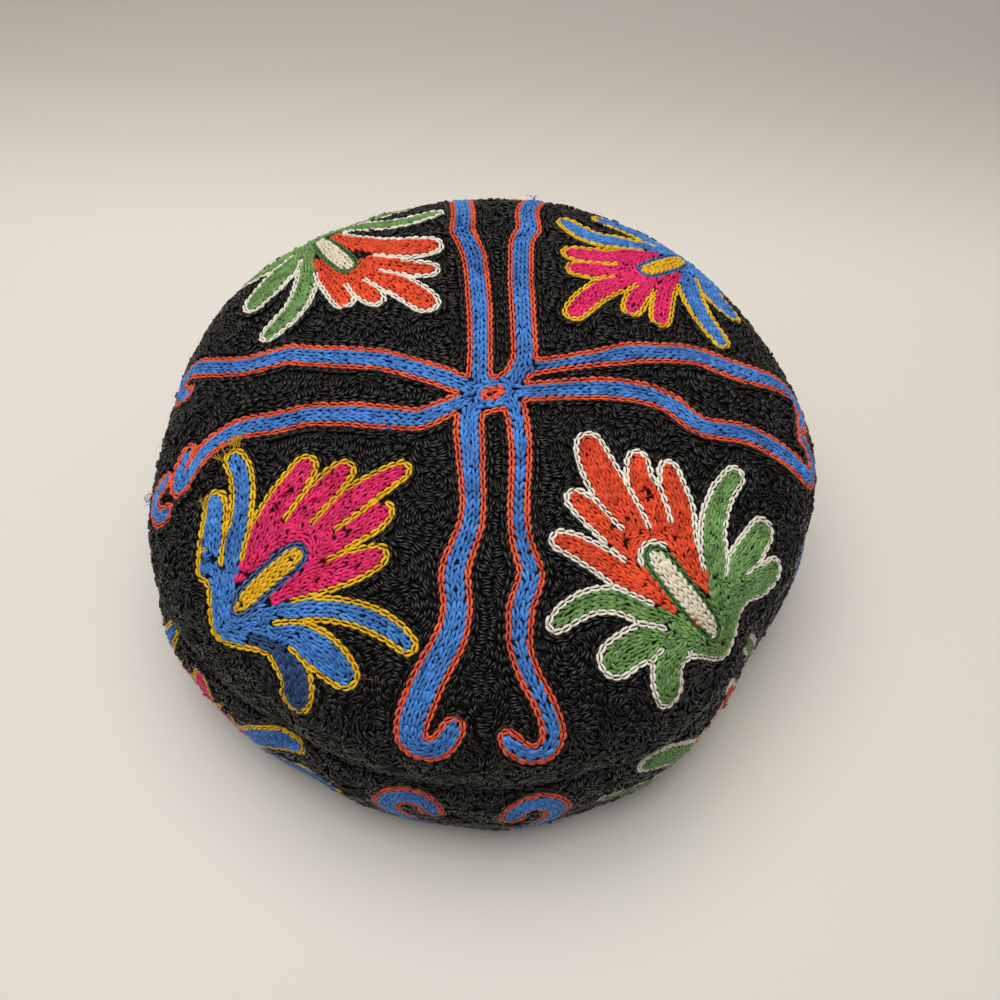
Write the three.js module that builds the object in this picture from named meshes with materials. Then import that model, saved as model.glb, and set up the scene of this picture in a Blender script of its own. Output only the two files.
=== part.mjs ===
// A soft round skullcap of embroidered cloth: a domed crown sewn along a seam to an upright side band.
// Millimetres, +Z up, front towards -Y. The hem stands on z = 0 and the plan is centred on the origin.

import * as THREE from 'three';

// Driving dimensions, in millimetres
const seamRadius = 92;
const hemRadius = 92;
const crownRise = 40;
const bandDepth = 44;
const bandBulge = 3.5;
const crownWall = 2.4;
const bandWall = 2.6;
const seamGap = 0.3;
const seamGroove = 1.3;
const seamGrooveWidth = 3.2;
const foldHeight = 3;
const foldWidth = 8;

// Shape of the crown's curve: 2 is an ellipse, more is flatter on top with a rounder shoulder
const crownPower = 2.9;

// How finely the cloth is faceted
const azimuthSteps = 90;
const crownRings = 17;
const bandRings = 7;

// The soft cap isn't quite round. Azimuths are in degrees from +X towards +Y,
// and each radius is a share of the round one.
const planShape = [
  { azimuth: 0, radius: 1.015 },
  { azimuth: 30, radius: 0.99 },
  { azimuth: 60, radius: 1.005 },
  { azimuth: 90, radius: 1.01 },
  { azimuth: 120, radius: 0.985 },
  { azimuth: 150, radius: 1.015 },
  { azimuth: 180, radius: 0.985 },
  { azimuth: 210, radius: 1.035 },
  { azimuth: 240, radius: 1.005 },
  { azimuth: 270, radius: 0.995 },
  { azimuth: 300, radius: 1.0 },
  { azimuth: 330, radius: 0.955 },
];

// Folds and dents: each runs straight from one place to another. A place is an azimuth in degrees
// and a way down the cap, where 0 is the apex, 1 the seam and 2 the hem. Height is a share of
// foldHeight, with dents below 0, and width a share of foldWidth.
const folds = [
  { name: 'crease of the left arm', from: [180, 0.22], to: [185, 0.78], height: 0.4, width: 0.7 },
  { name: 'dip beside that crease', from: [189, 0.34], to: [187, 0.66], height: -0.3, width: 0.6 },
  { name: 'dip of the right arm', from: [8, 0.16], to: [3, 0.72], height: -0.4, width: 1.0 },
  { name: 'dip of the back arm', from: [92, 0.3], to: [92, 0.85], height: -0.25, width: 1.0 },
  { name: 'dip of the front arm', from: [272, 0.45], to: [273, 0.9], height: -0.3, width: 1.2 },
  { name: 'puckered edge, front right', from: [297, 0.96], to: [318, 0.97], height: 0.55, width: 0.8 },
  { name: 'deep dip, right', from: [324, 0.84], to: [308, 0.87], height: -0.8, width: 0.9 },
  { name: 'dent in the outline, right', from: [329, 1.0], to: [330, 1.3], height: -0.7, width: 1.3 },
  { name: 'roll above the dent', from: [338, 0.9], to: [334, 0.98], height: 0.5, width: 1.0 },
  { name: 'dip, front left', from: [226, 0.88], to: [239, 0.9], height: -0.55, width: 0.9 },
  { name: 'swell under the left hooks', from: [196, 0.9], to: [206, 1.0], height: 0.35, width: 1.6 },
  { name: 'slack of the band, left', from: [190, 1.1], to: [190, 1.6], height: -0.5, width: 1.3 },
  { name: 'fullness of the band, left', from: [213, 1.1], to: [213, 1.6], height: 0.5, width: 1.3 },
  { name: 'slack of the band, front left', from: [242, 1.15], to: [243, 1.8], height: -0.5, width: 1.3 },
  { name: 'fullness of the band, front', from: [275, 1.15], to: [276, 1.7], height: 0.5, width: 1.2 },
  { name: 'slack of the band, front right', from: [292, 1.1], to: [292, 1.7], height: -0.6, width: 1.2 },
  { name: 'slack of the band, back', from: [70, 1.3], to: [68, 1.9], height: -0.4, width: 1.8 },
];

// Slow waves of the soft crown: how many go round it, how many run from apex to seam,
// where they start in degrees, and their height as a share of foldHeight
const waves = [
  { around: 3, down: 2.2, start: 40, height: 0.16 },
  { around: 5, down: 3.1, start: 100, height: 0.12 },
  { around: 8, down: 1.4, start: 15, height: 0.08 },
];

const clothBlack = { color: 0x17171a, roughness: 0.85, metalness: 0 };

function radians(degrees) {
  return THREE.MathUtils.degToRad(degrees);
}

// Smooth closed curve through the plan shape's rows, as a share of the round radius
const planCurve = (() => {
  const rows = planShape.map((row) => new THREE.Vector3(row.azimuth, row.radius, 0));
  const firstRow = rows[0];
  const lastRow = rows[rows.length - 1];
  const before = lastRow.clone().setX(lastRow.x - 360);
  const after = firstRow.clone().setX(firstRow.x + 360);
  const next = rows[1].clone().setX(rows[1].x + 360);
  return [before, ...rows, after, next];
})();

function planFactor(azimuth) {
  const turned = ((azimuth % 360) + 360) % 360;
  const i = planCurve.findIndex((row) => row.x > turned);
  const [a, b, c, d] = planCurve.slice(i - 2, i + 2);
  const t = (turned - b.x) / (c.x - b.x);
  const slopeIn = (c.y - a.y) / 2;
  const slopeOut = (d.y - b.y) / 2;
  const t2 = t * t;
  const t3 = t2 * t;
  return (2 * t3 - 3 * t2 + 1) * b.y + (t3 - 2 * t2 + t) * slopeIn
    + (3 * t2 - 2 * t3) * c.y + (t3 - t2) * slopeOut;
}

// The crown's curve in the upright plane, with its running length from the apex
const crownCurve = (() => {
  const steps = 400;
  const points = [];
  let length = 0;
  for (let i = 0; i <= steps; i += 1) {
    const angle = (i / steps) * Math.PI / 2;
    const radius = seamRadius * Math.sin(angle) ** (2 / crownPower);
    const height = crownRise * Math.cos(angle) ** (2 / crownPower);
    if (i > 0) {
      const last = points[i - 1];
      length += Math.hypot(radius - last.radius, height - last.height);
    }
    points.push({ radius, height, length });
  }
  return points;
})();
const crownLength = crownCurve[crownCurve.length - 1].length;

// A place down the cap: radius, height above the hem, and the outward direction of the cloth
function placeDown(way) {
  if (way > 1) {
    const down = way - 1;
    const swell = bandBulge * Math.sin(Math.PI * down ** 0.8);
    return {
      radius: seamRadius + (hemRadius - seamRadius) * down + swell,
      height: bandDepth * (1 - down),
      outRadius: 1,
      outHeight: 0,
    };
  }
  const wanted = way * crownLength;
  const i = Math.max(1, crownCurve.findIndex((point) => point.length >= wanted - 1e-9));
  const a = crownCurve[i - 1];
  const b = crownCurve[i];
  const t = (wanted - a.length) / (b.length - a.length);
  const radius = a.radius + (b.radius - a.radius) * t;
  const height = a.height + (b.height - a.height) * t;
  const out = new THREE.Vector2(
    (radius / seamRadius) ** (crownPower - 1) / seamRadius,
    (height / crownRise) ** (crownPower - 1) / crownRise,
  ).normalize();
  return { radius, height: bandDepth + seamGap + height, outRadius: out.x, outHeight: out.y };
}

// Flat map of the cap, with the apex in the middle and the way down as distance from it
function onMap(azimuth, way) {
  const angle = radians(azimuth);
  const distance = way <= 1 ? way * crownLength : crownLength + (way - 1) * bandDepth;
  return new THREE.Vector2(Math.cos(angle), Math.sin(angle)).multiplyScalar(distance);
}

// How far the cloth stands out from its even shape
function reliefAt(azimuth, way) {
  const here = onMap(azimuth, way);
  let relief = 0;
  for (const fold of folds) {
    const start = onMap(...fold.from);
    const run = onMap(...fold.to).sub(start);
    const along = here.clone().sub(start).dot(run) / run.lengthSq();
    const nearest = start.addScaledVector(run, THREE.MathUtils.clamp(along, 0, 1));
    const distance = nearest.distanceTo(here) / (fold.width * foldWidth);
    relief += fold.height * foldHeight * Math.exp(-distance * distance);
  }
  const middle = Math.sin(Math.PI * Math.min(way, 1)) ** 2;
  for (const wave of waves) {
    const swing = Math.cos(radians(wave.around * azimuth - wave.start) + 2 * Math.PI * wave.down * way);
    relief += wave.height * foldHeight * middle * swing;
  }
  const fromSeam = (here.length() - crownLength) / seamGrooveWidth;
  relief -= seamGroove * Math.exp(-fromSeam * fromSeam);
  return relief;
}

// A point of the cloth, at some depth under its outer face
function clothPoint(azimuth, way, depth) {
  const place = placeDown(way);
  const spread = Math.min(1, place.radius / seamRadius) ** 2;
  const factor = 1 + (planFactor(azimuth) - 1) * spread;
  const lift = reliefAt(azimuth, way) - depth;
  const radius = place.radius * factor + place.outRadius * lift;
  const height = place.height + place.outHeight * lift;
  const angle = radians(azimuth);
  return new THREE.Vector3(radius * Math.cos(angle), radius * Math.sin(angle), height);
}

function ring(way, depth) {
  const points = [];
  for (let k = 0; k < azimuthSteps; k += 1) {
    points.push(clothPoint((k * 360) / azimuthSteps, way, depth));
  }
  return points;
}

// Closed skin over a list of rings. A ring of one point is a pole; without poles the last ring
// joins the first.
function skin(rings) {
  const hasPoles = rings[0].length === 1;
  const starts = [];
  let count = 0;
  for (const points of rings) {
    starts.push(count);
    count += points.length;
  }
  const triangles = [];
  const strips = hasPoles ? rings.length - 1 : rings.length;
  for (let i = 0; i < strips; i += 1) {
    const j = (i + 1) % rings.length;
    const upper = (k) => starts[i] + (k % rings[i].length);
    const lower = (k) => starts[j] + (k % rings[j].length);
    for (let k = 0; k < azimuthSteps; k += 1) {
      if (rings[j].length > 1) triangles.push(upper(k), lower(k), lower(k + 1));
      if (rings[i].length > 1) triangles.push(upper(k), lower(k + 1), upper(k + 1));
    }
  }
  const geometry = new THREE.BufferGeometry().setFromPoints(rings.flat());
  geometry.setIndex(triangles);
  geometry.computeVertexNormals();
  return geometry;
}

// Rings lie closer together towards the seam, where the cloth turns sharply
function crownWays() {
  const ways = [];
  for (let i = 1; i <= crownRings; i += 1) ways.push(1 - (1 - i / crownRings) ** 1.4);
  return ways;
}

function bandWays() {
  const ways = [];
  for (let i = 0; i <= bandRings; i += 1) ways.push(1 + (i / bandRings) ** 1.3);
  return ways;
}

function makeCrown() {
  const ways = crownWays();
  const outer = ways.map((way) => ring(way, 0));
  const inner = ways.map((way) => ring(way, crownWall)).reverse();
  const geometry = skin([
    [clothPoint(0, 0, 0)],
    ...outer,
    ...inner,
    [clothPoint(0, 0, crownWall)],
  ]);
  const crown = new THREE.Mesh(geometry, new THREE.MeshStandardMaterial(clothBlack));
  crown.name = 'crown';
  return crown;
}

function makeSideBand() {
  // The way 1 belongs to the crown's edge, so the band's top ring starts just past it
  const ways = bandWays().map((way) => Math.max(way, 1 + 1e-6));
  const outer = ways.map((way) => ring(way, 0));
  const inner = ways.map((way) => ring(way, bandWall)).reverse();
  const geometry = skin([...outer, ...inner]);
  const sideBand = new THREE.Mesh(geometry, new THREE.MeshStandardMaterial(clothBlack));
  sideBand.name = 'side_band';
  return sideBand;
}

const group = new THREE.Group();
group.add(makeCrown(), makeSideBand());

// The plan's middle goes over the origin
const middle = new THREE.Box3().setFromObject(group).getCenter(new THREE.Vector3());
for (const mesh of group.children) mesh.geometry.translate(-middle.x, -middle.y, 0);

export default group;
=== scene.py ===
import math

import bmesh
import bpy
import numpy as np
from mathutils import Matrix, Vector, kdtree
from mathutils.bvhtree import BVHTree


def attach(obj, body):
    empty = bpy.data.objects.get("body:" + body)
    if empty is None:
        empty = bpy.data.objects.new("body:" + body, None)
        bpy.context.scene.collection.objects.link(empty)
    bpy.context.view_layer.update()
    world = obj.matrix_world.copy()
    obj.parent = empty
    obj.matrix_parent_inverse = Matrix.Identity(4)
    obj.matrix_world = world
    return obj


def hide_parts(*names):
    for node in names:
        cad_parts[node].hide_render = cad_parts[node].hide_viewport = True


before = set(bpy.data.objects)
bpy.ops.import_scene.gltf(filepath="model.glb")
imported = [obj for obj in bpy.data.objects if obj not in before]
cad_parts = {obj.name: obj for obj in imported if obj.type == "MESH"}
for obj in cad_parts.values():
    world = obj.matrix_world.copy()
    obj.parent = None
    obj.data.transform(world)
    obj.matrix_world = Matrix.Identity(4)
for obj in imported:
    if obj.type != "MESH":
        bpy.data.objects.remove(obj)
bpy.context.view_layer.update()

# A soft round skullcap of black cotton: a low crown sewn to an upright side band. It is worked all
# over in chain stitch, with a cross of paired vines and four flowers on a ground of black coils.
# The pattern is drawn on two flat charts in millimetres, and each link is then laid on the cloth.

chance = np.random.default_rng(41)
mm = 0.001


# Sizes of the cloth, as in the part's source, in millimetres. The plan's shares stand every 30 degrees
# from +X towards +Y. The inset is how far the cloth's outer skin is drawn in under the work.

seam_radius = 92.0
crown_rise = 40.0
crown_power = 2.9
band_depth = 44.0
band_bulge = 3.5
seam_gap = 0.3
apex_side = (-1.436, -0.193)
plan_shares = np.array([1.015, 0.99, 1.005, 1.01, 0.985, 1.015, 0.985, 1.035, 1.005, 0.995, 1.0, 0.955])
cloth_inset = 0.7
band_chart_radius = 95.0
band_chart_turn = math.radians(21.0)
band_chart_length = 2 * math.pi * band_chart_radius

# Sizes of the work, in millimetres. Half is half the width of a row of links, and a link spreads to a
# side no less than least and no more than most. Plump is a strand's girth as a share of that. Stray
# and ruffle are how unevenly the links lie and stand.

links = {
    "vine": dict(pitch=2.2, half=1.0, least=0.75, most=1.35, plump=0.53, stray=0.08, ruffle=0.06),
    "fill": dict(pitch=2.0, half=0.92, least=0.72, most=1.32, plump=0.56, stray=0.09, ruffle=0.07),
    "edge": dict(pitch=2.35, half=0.78, least=0.8, most=0.92, plump=0.46, stray=0.06, ruffle=0.04),
    "ground": dict(pitch=2.5, half=0.8, least=0.62, most=1.12, plump=0.5, stray=0.17, ruffle=0.19),
}

# Rows inside a shape's edge, then along its strokes: narrow ones first. Depths are below zero inside.
fill_first = 0.9
fill_step = 1.8
fill_rows = 6
fill_late = (-1.9, -3.8)
fill_bare = -0.4
stroke_inset = -0.35
stroke_narrow = -1.5
stroke_any = -99

# The edging runs this far outside a shape and takes up this much room there.
edge_off = 0.76
edge_width = 1.5

# A slit of edging between two strokes: half its width, how far it runs into the shape and past its
# edge, how far out it has to start, how far it keeps from the stamen, and how close its links may lie.
# The arc of edging round the stamen's tip lies this far off the stamen's ring.
slit_half = 0.74
slit_depth = 1.2
slit_past = 1.2
slit_start = 0.4
slit_off_stamen = 4
slit_crowding = -0.6
arc_off = 0.6

# The oval in the middle of the cross, its two red rows and the blue one round it. The vines keep off
# it, and the band's hooks end this high above the hem.
oval_ring = 2.1
oval_rows = (-0.8, -1.9)
oval_blue = 1.05
vine_off_oval = 0.6
vine_bare = -0.45
hook_floor = 1.6

# The black ground: where its first row lies and bare cloth gets a link, and how far it keeps from the
# seam and the hem. Then its coils: how far apart their turns and middles lie, how much room a middle
# needs, how many places are tried, how far a coil reaches, its points in a turn, its bare eye, how far
# it may run into the next coil, and how far it keeps from a shape.
ground_first = -0.75
ground_bare = -0.4
ground_off_seam = 0.2
coil_step = 1.45
coil_spread = 9.2
coil_room = 2.4
coil_tries = 5000
coil_reach = 15.0
coil_points = 12
coil_eye = 0.2
coil_overlap = 0.1
coil_inset = 1.85

# How high the strands stand, how close two links may lie as a share of their halves, and how wide a
# gap gets a link. Such a link is (length, how close it may lie), and the first is tried everywhere
# before the next.
pile = 0.28
crowding = 0.58
gap_size = {"vine": 0.74, "fill": 0.68, "ground": 0.86}
gap_links = {
    "vine": [(2.2, 0.15), (1.2, -0.1)],
    "fill": [(2.0, 0.12), (1.15, -0.15)],
    "ground": [(2.5, 0.32)],
}


# The pattern, charted in millimetres

# Each vine is its arm, its rows of blue and a list of (along the arm from the middle, to its left,
# half width of the blue). Arms are in degrees.
arms = {
    "front": -90.0,
    "right": 0.0,
    "back": 90.0,
    "left": 180.0,
}
vines = [
    ("front", 2, [(3, -2.4, 1.9), (7, -4.4, 2.2), (12, -4.3, 2.5), (17, -3.7, 2.3), (26, -2.7, 1.9),
                  (31, -2.1, 1.8), (37, -2.2, 1.9), (42, -3.4, 2.1), (47, -4.9, 2.3), (51, -5.3, 2.4),
                  (57, -4.3, 2.3)]),
    ("front", 3, [(57, -4.3, 2.3), (61, -4.4, 2.4), (66, -5.6, 2.7), (71, -7.9, 2.8), (76, -10.2, 2.9),
                  (80, -11.7, 2.9), (85, -13.4, 2.9), (90, -14.0, 2.6), (93, -11.9, 2.3),
                  (93.5, -8.8, 2.2), (91.5, -6.1, 2.1), (88.5, -4.2, 2.0), (86.5, -3.4, 1.7)]),
    ("front", 1, [(1, 4.6, 1.5), (3, 6.4, 1.7), (8, 7.8, 1.6), (17, 8.9, 1.5), (25, 9.0, 1.4),
                  (31, 9.0, 1.3), (36, 9.3, 1.3), (41, 10.0, 1.4), (46, 11.8, 1.6), (49, 13.0, 1.9)]),
    ("front", 2, [(49, 13.0, 1.9), (53, 12.0, 2.0), (57, 10.8, 2.0), (60, 10.8, 1.9), (65, 10.8, 1.8)]),
    ("front", 1, [(65, 10.8, 1.7), (70, 12.3, 1.5), (74, 14.4, 1.5), (78, 17.0, 1.5), (83, 19.6, 1.6),
                  (87, 20.9, 1.7), (91.5, 20.0, 1.8), (93.5, 17.2, 1.9), (92.5, 13.9, 1.9),
                  (90.5, 11.3, 1.8), (88.5, 9.9, 1.4)]),
    ("back", 2, [(1.5, 0.6, 1.9), (4, 2.5, 2.0), (13, 3.0, 1.9), (24, 3.7, 2.0), (31, 4.4, 2.1),
                 (39, 5.4, 2.1), (47, 6.5, 2.2), (51, 7.6, 2.3), (55, 9.0, 2.3), (59, 11.0, 2.3),
                 (64, 11.0, 2.2), (70, 11.4, 2.1), (79, 12.6, 2.1), (87, 13.8, 2.2), (91.5, 12.5, 2.2),
                 (93.5, 9.6, 2.1), (92.5, 6.4, 2.0), (89.5, 5.0, 1.9), (87, 5.4, 1.5)]),
    ("back", 2, [(1.5, -4.2, 1.8), (5, -6.4, 1.9), (11, -8.6, 2.1), (18, -8.4, 2.1), (24, -7.9, 2.1),
                 (32, -7.3, 2.1), (39, -6.8, 2.1), (48, -6.5, 2.2), (57, -6.5, 2.2), (61, -7.9, 2.3),
                 (64, -8.5, 2.3), (69, -7.7, 2.2), (76, -8.2, 2.1), (85, -10.6, 2.1), (90.5, -11.0, 2.2),
                 (93.5, -8.6, 2.1), (93.2, -5.2, 2.0), (90.2, -3.2, 1.9), (87.4, -3.6, 1.5)]),
    ("left", 2, [(3, -0.9, 1.8), (7, -2.0, 1.9), (13, -4.4, 2.1), (24, -7.5, 2.2), (29, -8.4, 2.3),
                 (37, -8.9, 2.2), (45, -9.9, 2.0), (51, -11.0, 2.0), (54, -11.6, 2.0), (59, -10.5, 2.0),
                 (65, -8.9, 2.0), (71, -9.2, 2.0), (78, -11.0, 2.0), (84, -13.2, 2.0), (89, -13.4, 2.0),
                 (92, -10.6, 2.0), (91.2, -7.0, 1.9), (88, -4.8, 1.8), (85.6, -5.0, 1.4)]),
    ("left", 2, [(3, 1.7, 1.4), (7, 3.4, 1.5), (12, 6.4, 1.7), (17, 9.1, 2.0), (24, 9.1, 2.1),
                 (30, 8.7, 2.2), (35, 8.2, 2.2), (40, 8.2, 2.1), (45, 8.1, 2.0), (50, 9.4, 2.1),
                 (55, 10.8, 2.1), (61, 11.3, 2.0), (66, 12.9, 1.9), (71, 15.6, 1.7), (74, 19.0, 1.5),
                 (76.1, 22.8, 1.4), (77.4, 25.8, 1.3), (79.4, 26.2, 1.2), (80.3, 23.0, 1.1),
                 (79.8, 19.2, 1.1), (78.0, 15.8, 1.0)]),
    ("left", 2, [(85.2, 22.8, 1.3), (87.8, 24.4, 1.6), (90.2, 27.2, 1.6), (89.4, 30.8, 1.5),
                 (85.6, 32.6, 1.5), (82.0, 32.0, 1.3)]),
    ("right", 1, [(2.8, 1.6, 1.2), (5, 4.8, 1.2), (8, 8.0, 1.1), (18, 11.1, 1.0), (24, 12.7, 1.1),
                  (29, 13.9, 1.3)]),
    ("right", 2, [(29, 13.9, 1.4), (34, 15.3, 1.9), (39, 16.6, 2.1), (45, 17.4, 2.0),
                  (50, 18.3, 2.0), (56, 18.7, 2.0), (62, 17.5, 2.1), (68, 16.9, 2.2), (74, 17.3, 2.1),
                  (80, 18.4, 1.9), (85, 18.6, 1.7), (89.5, 16.6, 1.7), (91.5, 13.0, 1.7),
                  (91.0, 9.5, 1.5), (89.4, 7.6, 1.2)]),
    ("right", 2, [(4, 0.7, 1.6), (7, 0.9, 1.7), (11, 1.5, 1.8), (18, 3.0, 1.9), (26, 4.3, 2.0),
                  (31, 4.8, 2.0), (37, 4.6, 2.0), (42, 3.9, 2.0), (47, 2.0, 2.0), (51, -1.2, 2.0),
                  (55, -4.2, 2.0), (60, -4.2, 2.0), (66, -3.4, 2.0), (72, -3.9, 2.0), (79, -5.6, 2.0),
                  (86, -7.6, 2.0), (91, -8.6, 1.9), (95, -6.6, 1.7), (95.2, -2.6, 1.5), (92.2, 0.8, 1.4),
                  (89, 3.2, 1.2)]),
]
oval = [(-0.2, -0.8, 2.2), (2.8, 0.7, 1.75)]

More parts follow.
